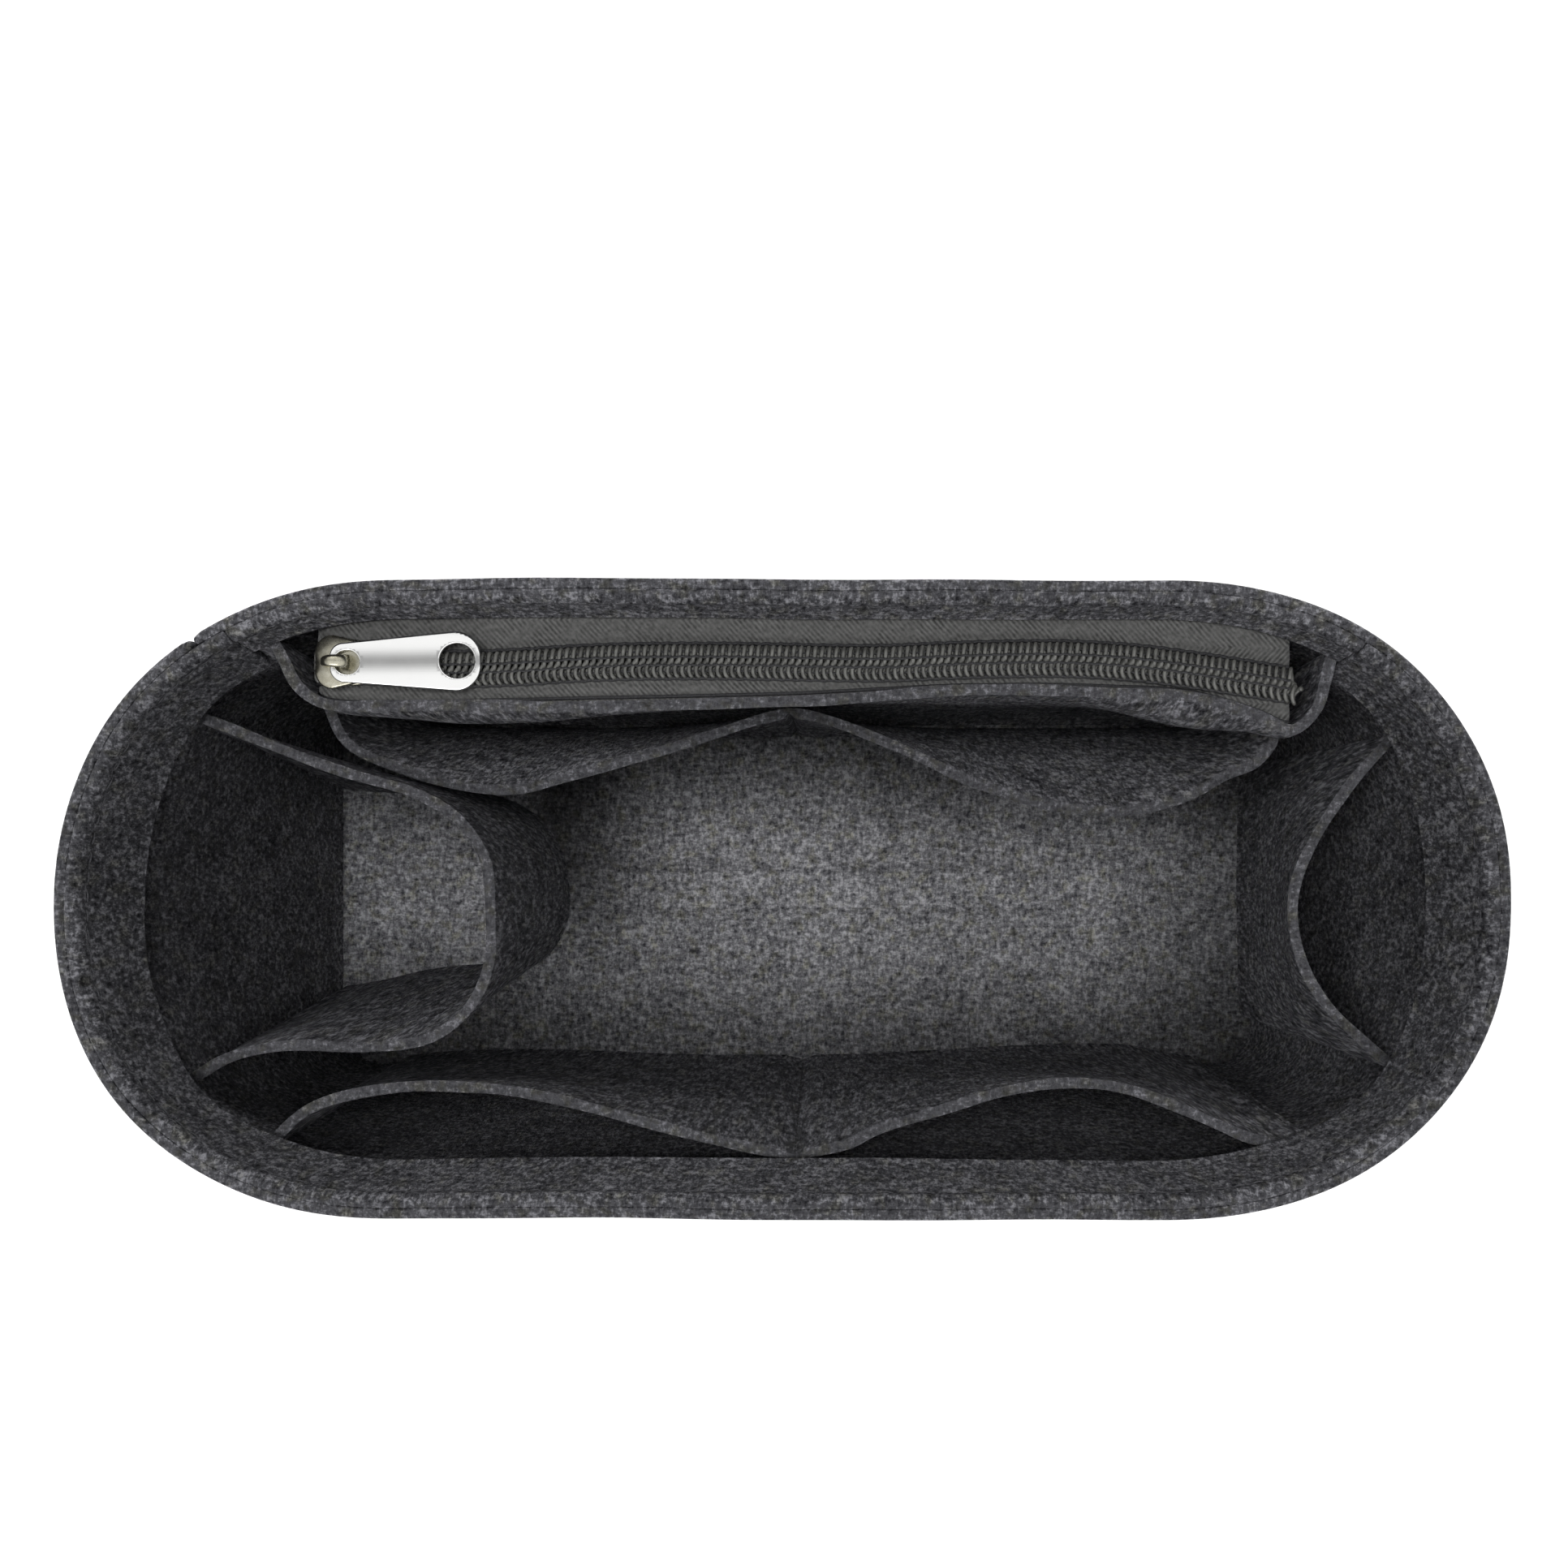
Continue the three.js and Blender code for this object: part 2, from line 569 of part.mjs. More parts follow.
// The slider: two plates joined by a post in the chain's middle slot, side flanges, and an arch on top
function slider() {
  const right = sliderLeftEnd + sliderLength;
  const outline = taperedOutline(
    sliderLeftEnd, right, sliderNoseWidth, sliderTailWidth, sliderCornerRadius, sliderCornerRadius, chainY,
  );
  const bottomPlateFoot = bottomPlateTop - bottomPlateThickness;
  const top = plate(outline, topPlateThickness, plateFoot, plateCornerSteps);
  const bottom = plate(outline, bottomPlateThickness, bottomPlateFoot, plateCornerSteps);
  const flangeFoot = tapeTop + zipClearance;
  const flangeStart = sliderLeftEnd + sliderCornerRadius;
  const flangeEnd = right - sliderCornerRadius;
  const outside = sliderTailWidth / 2;
  const flanges = [-outside, outside - flangeThickness].map((offset) => block(
    flangeStart, flangeEnd, chainY + offset, chainY + offset + flangeThickness,
    flangeFoot, plateFoot + topPlateThickness / 2,
  ));
  const post = block(
    sliderLeftEnd + postMargin, sliderLeftEnd + postMargin + postLength,
    chainY - postWidth / 2, chainY + postWidth / 2,
    bottomPlateTop - bottomPlateThickness / 2, plateFoot + topPlateThickness / 2,
  );
  return joined([top, bottom, ...flanges, post, arch()]);
}

// The arch that the pull hangs on: two legs and a bar with sloping shoulders
function arch() {
  const inside = archRoom;
  const outside = archRoom + archLegLength;
  const underside = hingeZ + archRoom;
  const crown = underside + archBarHeight;
  const shoulder = archLegLength / 2;
  const root = plateTop - topPlateThickness / 2;
  const shape = new THREE.Shape([
    new THREE.Vector2(hingeX - outside, root),
    new THREE.Vector2(hingeX - inside, root),
    new THREE.Vector2(hingeX - inside, underside),
    new THREE.Vector2(hingeX + inside, underside),
    new THREE.Vector2(hingeX + inside, root),
    new THREE.Vector2(hingeX + outside, root),
    new THREE.Vector2(hingeX + outside, crown - shoulder),
    new THREE.Vector2(hingeX + outside - shoulder, crown),
    new THREE.Vector2(hingeX - outside + shoulder, crown),
    new THREE.Vector2(hingeX - outside, crown - shoulder),
  ]);
  return plate(shape, archWidth, 0).rotateX(Math.PI / 2).translate(0, chainY + archWidth / 2, 0);
}

// The pull leans down from its hinge until its tip nearly rests on the chain
function pull() {
  const left = -pullBarWidth / 2;
  const outline = taperedOutline(
    left, left + pullLength, pullHingeWidth, pullTipWidth, hingeCornerRadius, tipCornerRadius, 0,
  );
  const hingeHoleX = pullBarWidth / 2 + hingeHoleDiameter / 2;
  const tipHoleX = left + pullLength - tipHoleMargin;
  [[hingeHoleX, hingeHoleDiameter], [tipHoleX, tipHoleDiameter]].forEach(([x, diameter]) => {
    const hole = new THREE.Path();
    hole.absarc(x, 0, diameter / 2, 0, 2 * Math.PI, true);
    outline.holes.push(hole);
  });
  const geometry = plate(outline, pullThickness, -pullThickness / 2, pullCurveSteps);
  const room = hingeHeight + topPlateThickness - pullThickness / 2;
  const lean = Math.asin(room / (pullLength - pullBarWidth));
  return geometry.rotateY(lean).translate(hingeX, chainY, hingeZ);
}

addPiece('outer_wall', outerWall(), feltWall);
addPiece('base_panel', basePanel(), feltFloor);
addPiece('rim_facing', facing(facingLeftShare, facingRightShare + 1, facingDepth), feltWall);
addPiece('zip_facing', facing(zipFacingRightShare, zipFacingLeftShare, zipFacingDepth), feltWall);
addPiece('left_end_pocket', standingStrip(leftPocketLine, leftPocketTop, leftPocketSteps), feltPocket);
addPiece('right_end_pocket', standingStrip(rightPocketLine, rightPocketTop, rightPocketSteps), feltPocket);
addPiece('front_pocket_panel', standingStrip(frontPocketLine, frontPocketTop, frontPocketSteps), feltPocket);
addPiece('zip_pocket_panel', standingStrip(zipPocketLine, zipPanelTop, zipPocketSteps), feltPocket);
addPiece('rear_pocket_panel', standingStrip(rearPocketLine, rearPocketTop, rearPocketSteps), feltPocket);
addPiece('zip_tape_rear', rearTape(), zipTape);
addPiece('zip_tape_front', frontTape(), zipTape);
addPiece('zip_coil_rear', coil(1), nylonCoil);
addPiece('zip_coil_front', coil(-1), nylonCoil);
addPiece('zip_slider', slider(), sliderMetal);
addPiece('zip_pull', pull(), pullMetal);

export default insert;
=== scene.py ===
"""The looks of a felt purse organizer insert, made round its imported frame.

Lengths are written in millimetres and turned to metres where a mesh is made. +X runs to the right,
+Y to the rear and +Z up, as in the frame."""

import math

import bmesh
import bpy
import numpy as np
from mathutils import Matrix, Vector


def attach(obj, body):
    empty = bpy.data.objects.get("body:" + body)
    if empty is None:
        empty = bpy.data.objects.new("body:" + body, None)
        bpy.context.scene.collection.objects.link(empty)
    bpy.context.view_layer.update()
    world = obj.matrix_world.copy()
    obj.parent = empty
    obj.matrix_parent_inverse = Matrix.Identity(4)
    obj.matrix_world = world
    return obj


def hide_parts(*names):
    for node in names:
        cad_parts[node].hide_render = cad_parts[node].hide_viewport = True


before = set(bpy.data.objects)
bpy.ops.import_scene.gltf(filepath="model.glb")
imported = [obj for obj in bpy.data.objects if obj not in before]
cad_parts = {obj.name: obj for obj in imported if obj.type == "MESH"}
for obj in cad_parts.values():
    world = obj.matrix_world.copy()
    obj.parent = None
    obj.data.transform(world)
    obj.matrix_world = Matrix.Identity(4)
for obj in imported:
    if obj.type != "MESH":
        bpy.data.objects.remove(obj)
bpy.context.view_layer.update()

MM = 0.001
FELT_BODY = "felt_body"
SLIDER_BODY = "zip_slider_body"
PULL_BODY = "zip_pull_body"

# Sizes of the felt tub
RIM_LENGTH = 250.0
RIM_WIDTH = 110.0
RIM_STRAIGHT = 133.0
RIM_FRONT_ROUND = 2.2
RIM_REAR_ROUND = 2.1
BASE_LENGTH = 240.0
BASE_WIDTH = 94.0
BASE_CORNER = 12.0
HEIGHT = 150.0
FELT = 2.0
EDGE_ROUND = 0.42
EDGE_ANGLE = 50
# A hairline between two felts that lie on each other
TOUCH = 0.05
OUTLINE_STEPS = 160
TANGENT_SHARE = 0.0005
WALL_SEAM_SHARE = 0.665
WALL_SEAM_NOTCH = 0.5
WALL_SEAM_GROOVE = 0.35
WALL_SEAM_GROOVE_WIDTH = 0.9
FACING_DEPTH = 25.0
ZIP_FACING_DEPTH = 13.2
FACING_RIGHT_SHARE = 0.336
FACING_LEFT_SHARE = 0.656
FACING_GAP_SHARE = 0.0004

# Top edges of the pockets, and how far they stand off the wall
PANEL_FOOT = FELT + TOUCH
LEFT_TOP = HEIGHT - 32.0
RIGHT_TOP = HEIGHT - 31.0
FRONT_TOP = HEIGHT - 28.0
REAR_TOP = HEIGHT - 50.0
ZIP_PANEL_TOP = HEIGHT - ZIP_FACING_DEPTH - 0.3
WALL_SEAT = FELT + 0.3
RIGHT_REACH = 24.8
FRONT_REACH = 15.0
ZIP_REACH = 16.67
REAR_REACH = 20.0
# The power by which a panel's reach grows with its height
FLARE = 1.4
# How far off its seat the middle of a panel's end lies, in felt thicknesses: a cut end, then a lying one
CUT_END = 0.3
LYING_END = 0.5

LEFT_ENDS = {"rear_top": 0.689, "front_top": 0.8095, "rear_foot": 0.708, "front_foot": 0.79}
LEFT_TOP_LINE = [
    (-0.678, 0.438), (-0.56, 0.355), (-0.494, 0.262), (-0.456, 0.125), (-0.45, -0.02), (-0.456, -0.24),
    (-0.487, -0.38), (-0.542, -0.478), (-0.642, -0.52), (-0.765, -0.52), (-0.852, -0.562),
]
LEFT_FOOT_LINE = [
    (-0.733, 0.528), (-0.625, 0.479), (-0.558, 0.372), (-0.515, 0.191), (-0.5, -0.011), (-0.508, -0.191),
    (-0.542, -0.34), (-0.6, -0.415), (-0.692, -0.432), (-0.792, -0.457), (-0.883, -0.511),
]
# Wall share and reach share at the top edge, then at the foot
RIGHT_LINE = [
    (0.1963, 0, 0.2, 0), (0.1985, 0.21, 0.2015, 0.02), (0.2055, 0.58, 0.2085, 0.03),
    (0.22, 0.858, 0.221, 0.05), (0.2445, 1, 0.2445, 0.06), (0.2615, 0.945, 0.2615, 0.06),
    (0.2792, 0.741, 0.279, 0.05), (0.292, 0.429, 0.29, 0.03), (0.2967, 0.244, 0.2955, 0.02),
    (0.3018, 0, 0.299, 0),
]
FRONT_LINE = [
    (0.8447, 0, 0.8447, 0), (0.8465, 0.17, 0.847, 0.01), (0.8512, 0.465, 0.852, 0.03),
    (0.8575, 0.66, 0.858, 0.05), (0.868, 0.845, 0.868, 0.08), (0.8792, 0.955, 0.8792, 0.1),
    (0.8905, 0.99, 0.8905, 0.1), (0.9125, 0.91, 0.9125, 0.08), (0.9316, 0.765, 0.9316, 0.06),
    (0.9563, 0.52, 0.9563, 0.02), (0.9778, 0.325, 0.9778, 0.01), (1.0025, 0.16, 1.0025, 0.01),
    (1.0178, 0.26, 1.0178, 0.01), (1.0265, 0.44, 1.0265, 0.02), (1.045, 0.69, 1.045, 0.06),
    (1.0635, 0.905, 1.0635, 0.1), (1.082, 1, 1.082, 0.15), (1.1005, 0.93, 1.1005, 0.19),
    (1.1205, 0.65, 1.1205, 0.21), (1.1308, 0.44, 1.1308, 0.19), (1.14, 0.21, 1.14, 0.12),
    (1.148, 0.05, 1.148, 0.04), (1.157, 0.01, 1.157, 0.01),
]
ZIP_LINE = [
    (0.3398, 0, 0.335, 0), (0.3372, 0.3, 0.3375, 0), (0.335, 0.6, 0.34, 0), (0.339, 0.93, 0.3445, 0),
    (0.3532, 0.97, 0.3545, 0), (0.373, 0.98, 0.373, 0), (0.4002, 0.87, 0.4002, 0),
    (0.4462, 0.84, 0.4462, 0), (0.497, 0.93, 0.497, 0), (0.5315, 0.98, 0.5315, 0),
    (0.5842, 1, 0.5842, 0), (0.619, 1, 0.619, 0), (0.6395, 0.85, 0.6395, 0), (0.6465, 0.58, 0.6465, 0),
    (0.6478, 0.25, 0.6495, 0), (0.6492, 0.03, 0.6515, 0), (0.6535, 0, 0.654, 0),
]
# Place along the zip pocket panel as a share of half the rim, and reach share
REAR_LINE = [
    (-0.728, 0.04), (-0.693, 0.305), (-0.614, 0.555), (-0.525, 0.71), (-0.434, 0.75), (-0.355, 0.63),
    (-0.224, 0.39), (-0.12, 0.175), (-0.025, 0.01), (0.025, 0.01), (0.167, 0.37), (0.298, 0.755),
    (0.428, 1), (0.559, 1), (0.663, 0.74), (0.732, 0.46), (0.758, 0.26), (0.768, 0.1), (0.774, 0.02),
]
REAR_FOOT_REACH = 0.04
# Where each double panel is sewn down its middle, as a share of the way through its points
FRONT_SEAM_PLACE = 11 / 22
REAR_SEAM_PLACE = 8.5 / 18

# The soft wall's unevenness: size, waves round the wall, their start, and the height that turns them on
WALL_WAVES = [(0.2, 4, 0.8, 55), (0.09, 9, 2.1, -38), (0.05, 17, 0, 23)]
# The height over which that unevenness sets in, above the sewn foot
WALL_WAVES_RISE = 40
# How a hand-guided cut wanders: size, length along the edge, and the seed's share
CUT_WAVES = [(0.22, 11, 1), (0.14, 4.9, 2.3), (0.07, 1.7, 3.1)]
# The two waves of a panel: size, length along it, the seed's share, and the height that turns them
PANEL_WAVES = [(0.45, 17, 1, 26), (0.25, 8.5, 2, -15)]
# The length at each sewn end of a panel over which its waves die out
PANEL_STILL = 9
# How deep a seam down a panel draws the felt in, and the half width of that groove
PANEL_GROOVE = 1.15
PANEL_GROOVE_WIDTH = 1.9
# How the upper edges of the wall and of its facings are rounded off at the rim: depth, height
WALL_SHOULDER = (0.55, 1.2)
FACING_SHOULDER = (1.15, 2.2)
# Where the zip pocket panel's slack rolls forward: place along X, half width, share of the whole roll
ZIP_ROLLS = [(-56, 21, 1), (75, 17, 0.95)]
ZIP_ROLL_SIZE = 3.6
ZIP_ROLL_DEPTH = 24
# How far the tape holds the panel's edge back near its right end, and the half width of that place
ZIP_HELD = 2.0
ZIP_HELD_WIDTH = 10.5
# The base plate's swell in its middle, how far its cut edge is rounded, and half its middle line
BASE_SWELL = 0.2
BASE_EDGE_DROP = 0.3
BASE_MIDDLE = 62

# Sizes of the zip

# The two halves of the zip, and the side of the chain that each is on
HALVES = (("rear", 1), ("front", -1))
CHAIN_Y = 42.6
ZIP_LEFT = -85.0
ZIP_RIGHT = 92.0
CHAIN_HALF = 3.15
TAPE = 0.6
TAPE_TOP = ZIP_PANEL_TOP - 1.3
# The inner edge of each tape lies this far from the chain's middle line
TAPE_EDGE = 0.75
# How far the zip's left end is tucked down, and over what length
TUCK_DEPTH = 4.0
TUCK_LENGTH = 3.2
COIL_MIDDLE = TAPE_TOP + 1.25
COIL_PITCH = 1.27
COIL_WIRE = 0.4
LOOP_MIDDLE = 1.28
LOOP_REACH = 1.48
LOOP_RISE = 0.62
# How far the legs of the front half are bowed by their sewing
LEG_BOW = 0.34
# Near its open end each half of the chain spreads: from this place on, over this length, by this much
SPREAD_FROM = 86
SPREAD_LENGTH = 6
SPREAD = 0.5
# The chain's own line seen from above: it bows a little, and its right end curls to the front
CHAIN_BOW = [
    (-95, 41.9), (-80, 41.6), (-66, 41.15), (-56, 41.0), (-47, 41.35), (-38, 41.92), (-28, 42.3),
    (-12.5, 42.4), (-1, 42.26), (10, 42.04), (19, 42.05), (28, 42.44), (40, 42.8), (51, 42.8),
    (63, 42.08), (74.4, 40.63), (86, 38.82), (93, 37.7),
]

SLIDER_Y = CHAIN_Y - 0.5
SLIDER_LEFT = -83.63
SLIDER_LENGTH = 9.6
SLIDER_RIGHT = SLIDER_LEFT + SLIDER_LENGTH
# Each plate of the slider: width and corner round at its left, then at its right
TOP_PLATE = (9.6, 3.2, 7.4, 1.6)
TOP_PLATE_Z = 138.5
TOP_PLATE_THICK = 1.2
TOP_PLATE_CROWN = 24.0
NOSE_LENGTH = 3.8
# The shallow dish under the arch: how far right of the hinge, half length, half width, depth
DISH_X, DISH_LENGTH, DISH_WIDTH, DISH_DEPTH = 2.3, 1.3, 1.5, 0.35
BOTTOM_PLATE = (8.6, 3.0, 7.2, 1.6)
BOTTOM_PLATE_Z = 133.8
BOTTOM_PLATE_THICK = 1.0
# The flanges: height, distance from the slider's middle, how they splay to the left, radii along them
FLANGE_Z = 137.25
FLANGE_Y = 3.55
FLANGE_SPLAY = 0.02
FLANGE_RADII = (0.2, 0.42, 0.55, 0.55, 0.55, 0.55, 0.55, 0.42, 0.2)
POST_LOW, POST_HIGH = 134.0, 138.4
POST_RADIUS = 0.5
ARCH_Y = SLIDER_Y - 0.2
ARCH_FOOT = 138.6
ARCH_RISE = 3.4
ARCH_RADIUS = 0.5
ARCH_REACH_LEFT, ARCH_REACH_RIGHT = 1.85, 2.65
# How many times wider than thick the arch's strap is, at its right foot and at its left
ARCH_WIDE_RIGHT, ARCH_WIDE_LEFT = 2.6, 1.5
ARCH_STEPS, ARCH_SIDES = 21, 12

HINGE_X = SLIDER_LEFT + SLIDER_LENGTH * 0.4
HINGE_Z = 140.3
PULL_Y = SLIDER_Y - 0.4
PULL_LENGTH = 26.3
PULL_HINGE_WIDTH = 7.0
PULL_TIP_WIDTH = 10.6
PULL_THICK = 1.2
PULL_BAR = 0.9
HINGE_HOLE = 4.2
TIP_HOLE = 6.2
TIP_MARGIN = 4.1
PULL_CROWN = 40.0
PULL_YAW = 1.4
# The tip rests on the chain, this much lower than the bar
PULL_DROP = 1.9

# Sewing
THREAD = 0.34
STITCH = 3.4
STITCH_SINK = 0.45
STITCH_PROUD = 0.12
# The share of each stitch that is left free at either needle hole
NEEDLE_GAP = 0.08
# A stitched row draws the felt in: the half width, the depth all along it, and more at the needle holes
PUCKER_WIDTH = 1.1
PUCKER_DEPTH = 0.16
PUCKER_PULL = 0.3
RIM_ROW = HEIGHT - 5.0
FOOT_ROW = 3.4
END_ROW_FOOT = 8.0
# How far short of each end a sewn row stops, as a share of the wall: in general, and on the zip facing
ROW_END = 0.002
ZIP_ROW_END = 0.003
# How far in from the wall's outer face the thread runs, outside on the wall and inside on a facing
OUTSIDE_ROW = 0.3
INSIDE_ROW = 2 * FELT - 0.25
# Where the ends of the pockets are sewn through the wall: share at the foot, share at the top, top edge
END_ROWS = [
    (0.1985, 0.1965, RIGHT_TOP), (0.3, 0.302, RIGHT_TOP),
    (LEFT_ENDS["rear_foot"], LEFT_ENDS["rear_top"], LEFT_TOP),
    (LEFT_ENDS["front_foot"], LEFT_ENDS["front_top"], LEFT_TOP),
    (0.8447, 0.8447, FRONT_TOP), (0.155, 0.155, FRONT_TOP), (0.0025, 0.0025, FRONT_TOP),
    (0.336, 0.3385, ZIP_PANEL_TOP), (0.653, 0.652, ZIP_PANEL_TOP),
]

# Light and view

# Light of the room along its walls and overhead, and how much the floor is lifted for the eye
ROOM_LOW = 0.62
ROOM_HIGH = 0.05
FLOOR_LIFT = 0.25
# Distances from the object's middle, in metres, between which the floor turns paper white
FLOOR_NEAR, FLOOR_FAR = 0.22, 0.5
# Softboxes: place, size across and along, watts, and whether metal mirrors them
LAMPS = {
    "overhead_softbox": ((-0.12, 0.0, 1.6), (0.45, 1.3), 27, False),
    "front_softbox": ((0.0, -1.2, 1.0), (1.2, 0.6), 5.5, True),
    "rear_softbox": ((0.0, 1.2, 1.0), (1.2, 0.6), 6, True),
}
LAMP_TARGET = (0, 0, 0.1)
# The view: picture width and focal length in its pixels, the pixel straight under the camera, its place
PICTURE = 1932
FOCAL = 2053
UNDER_CAMERA = (1016, 1075)
CAMERA_PLACE = (7.2, 4.6, 435.0)
SENSOR = 36.0

# What the materials share
POLYMER_IOR = 1.53
# The heather's even tone on a cut edge, from 0 dark to 1 pale
EDGE_TONE = 0.33
# How each layer of fibre is turned and drawn out in the felt
FIBRE_LAYERS = (
    ((0.5, 0.3, 0.6), (0.4, 1, 1)), ((-0.4, 0.7, -0.9), (1, 0.4, 1)), ((0.9, -0.5, 0.2), (1, 1, 1)),
)


# Colour and nodes
def linear(hex_colour):
    """An sRGB hex colour as the linear colour that a shader socket takes."""
    channels = [int(hex_colour[start:start + 2], 16) / 255 for start in (1, 3, 5)]
    return tuple(level / 12.92 if level <= 0.04045 else ((level + 0.055) / 1.055) ** 2.4
                 for level in channels) + (1.0,)


def add(tree, kind, inputs=None, stops=(), **properties):
    """Adds a node with its properties and its inputs by name or number. An input takes a value, another
    node's output, or a node, which stands for its first output. Stops are a ramp's places and hex colours."""
    node = tree.nodes.new("ShaderNode" + kind)
    for name, value in properties.items():
        setattr(node, name, value)
    for name, value in (inputs or {}).items():
        if isinstance(value, bpy.types.Node):
            value = value.outputs[0]
        if isinstance(value, bpy.types.NodeSocket):
            tree.links.new(value, node.inputs[name])
        else:
            node.inputs[name].default_value = value
    if stops:
        points = node.color_ramp.elements
        while len(points) < len(stops):
            points.new(0.5)
        for point, (place, colour) in zip(points, stops):
            point.position, point.color = place, linear(colour)
    return node


def new_material(name):
    """An empty material, its nodes, and the place on the piece that its patterns follow."""
    material = bpy.data.materials.new(name)
    material.use_nodes = True
    tree = material.node_tree
    tree.nodes.clear()
    return material, tree, add(tree, "TexCoord").outputs["Object"]


def eased_product(tree, place, changes):
    """The product of smooth changes. Each runs along an axis from one place to another, in millimetres,
    and from one factor to another."""
    split = add(tree, "SeparateXYZ", {"Vector": place})
    product = 1.0
    for axis, low_mm, high_mm, low, high in changes:
        change = add(tree, "MapRange", {
            "Value": split.outputs[axis], "From Min": low_mm * MM, "From Max": high_mm * MM,
            "To Min": low, "To Max": high,
        }, interpolation_type="SMOOTHSTEP")
        product = add(tree, "Math", {0: product, 1: change}, operation="MULTIPLY")
    return product


def needled_felt(name, shades, tuft_mm, drawn_out, evened, tone_changes, painted_shadow=()):
    """Needle-punched polyester felt, dyed in the fibre: dark and pale staple fibres lie mixed in every
    direction, so the face is a matt grey heather of short streaks, a few of them olive, with a soft fuzz.
    A cut edge shows its fibres end on, so its heather is evener, by the given share. The colour is multiplied
    by the tone changes, which are painted light and shade, and by what the painted shadow changes leave of
    it."""
    material, tree, place = new_material(name)
    # The needles draw the fibre through the cloth, so tufts are tuft_mm across and longer than that upward
    drawn = add(tree, "Mapping", {"Vector": place, "Scale": (1, 1, drawn_out)})
    mixed = 0.0
    for turn, stretch in FIBRE_LAYERS:
        laid = add(tree, "Mapping", {"Vector": drawn, "Rotation": turn, "Scale": stretch})
        grain = add(tree, "TexNoise", {
            "Vector": laid, "Scale": 1 / (tuft_mm * MM), "Detail": 2.5, "Roughness": 0.75,
        })
        mixed = add(tree, "Math", {0: mixed, 1: grain}, operation="ADD")
    # Clouds where the card laid the fibre thicker, 9 mm across
    cloud = add(tree, "TexNoise", {"Vector": place, "Scale": 1 / (9 * MM), "Detail": 3.0})
    cloudy = add(tree, "Math", {0: cloud, 1: 0.34, 2: mixed}, operation="MULTIPLY_ADD")
    heather = add(tree, "MapRange", {"Value": cloudy, "From Min": 1.33, "From Max": 2.01})
    normal = add(tree, "NewGeometry").outputs["Normal"]
    upward = add(tree, "SeparateXYZ", {"Vector": normal}).outputs["Z"]
    edge = add(tree, "MapRange", {
        "Value": upward, "From Min": 0.6, "From Max": 0.95, "To Max": evened,
    })
    even = add(tree, "Mix", {0: edge, 2: heather, 3: EDGE_TONE}, data_type="FLOAT")
    dyed = add(tree, "ValToRGB", {"Fac": even}, list(zip((0.0, 0.5, 1.0), shades)))
    # A few fibres in some 2.6 mm patches are olive
    olive = add(tree, "TexNoise", {"Vector": drawn, "Scale": 1 / (2.6 * MM), "Detail": 2.0})
    speck = add(tree, "MapRange", {
        "Value": olive, "From Min": 0.52, "From Max": 0.68, "To Max": 0.75,
    })
    tinted = add(tree, "Mix", {"Factor": speck, 6: dyed, 7: linear("#e9e7cf")},
                 data_type="RGBA", blend_type="MULTIPLY")
    # Painted light and shade: the colour is scaled by the tone changes, then darkened by the painted shadow
    shade = eased_product(tree, place, tone_changes)
    if painted_shadow:
        taken = eased_product(tree, place, painted_shadow)
        left = add(tree, "Math", {0: 1.0, 1: taken}, operation="SUBTRACT")
        shade = add(tree, "Math", {0: shade, 1: left}, operation="MULTIPLY")
    colour = add(tree, "VectorMath", {0: tinted.outputs[2], "Scale": shade}, operation="SCALE")
    # Loose fibre ends stand off the face and catch the light that grazes it, pale ones most
    nap = add(tree, "ValToRGB", {"Fac": even}, [(0.0, "#2e2e33"), (0.5, "#a4a4ac"), (1.0, "#fafafd")])
    # The fuzz itself is drawn 0.5 mm apart, coarser than single fibres, so that it shows
    fuzz = add(tree, "TexNoise", {
        "Vector": place, "Scale": 1 / (0.5 * MM), "Detail": 2.0, "Roughness": 0.7,
    })
    relief = add(tree, "Math", {0: fuzz, 1: 0.6, 2: mixed}, operation="MULTIPLY_ADD")
    bump = add(tree, "Bump", {"Height": relief, "Strength": 0.7, "Distance": 0.5 * MM})
    shader = add(tree, "BsdfPrincipled", {
        "Base Color": colour, "Roughness": 0.95, "IOR": 1.5, "Specular IOR Level": 0.1,
        "Sheen Weight": 0.17, "Sheen Roughness": 0.5, "Sheen Tint": nap, "Normal": bump,
    })
    add(tree, "OutputMaterial", {"Surface": shader})
    return material


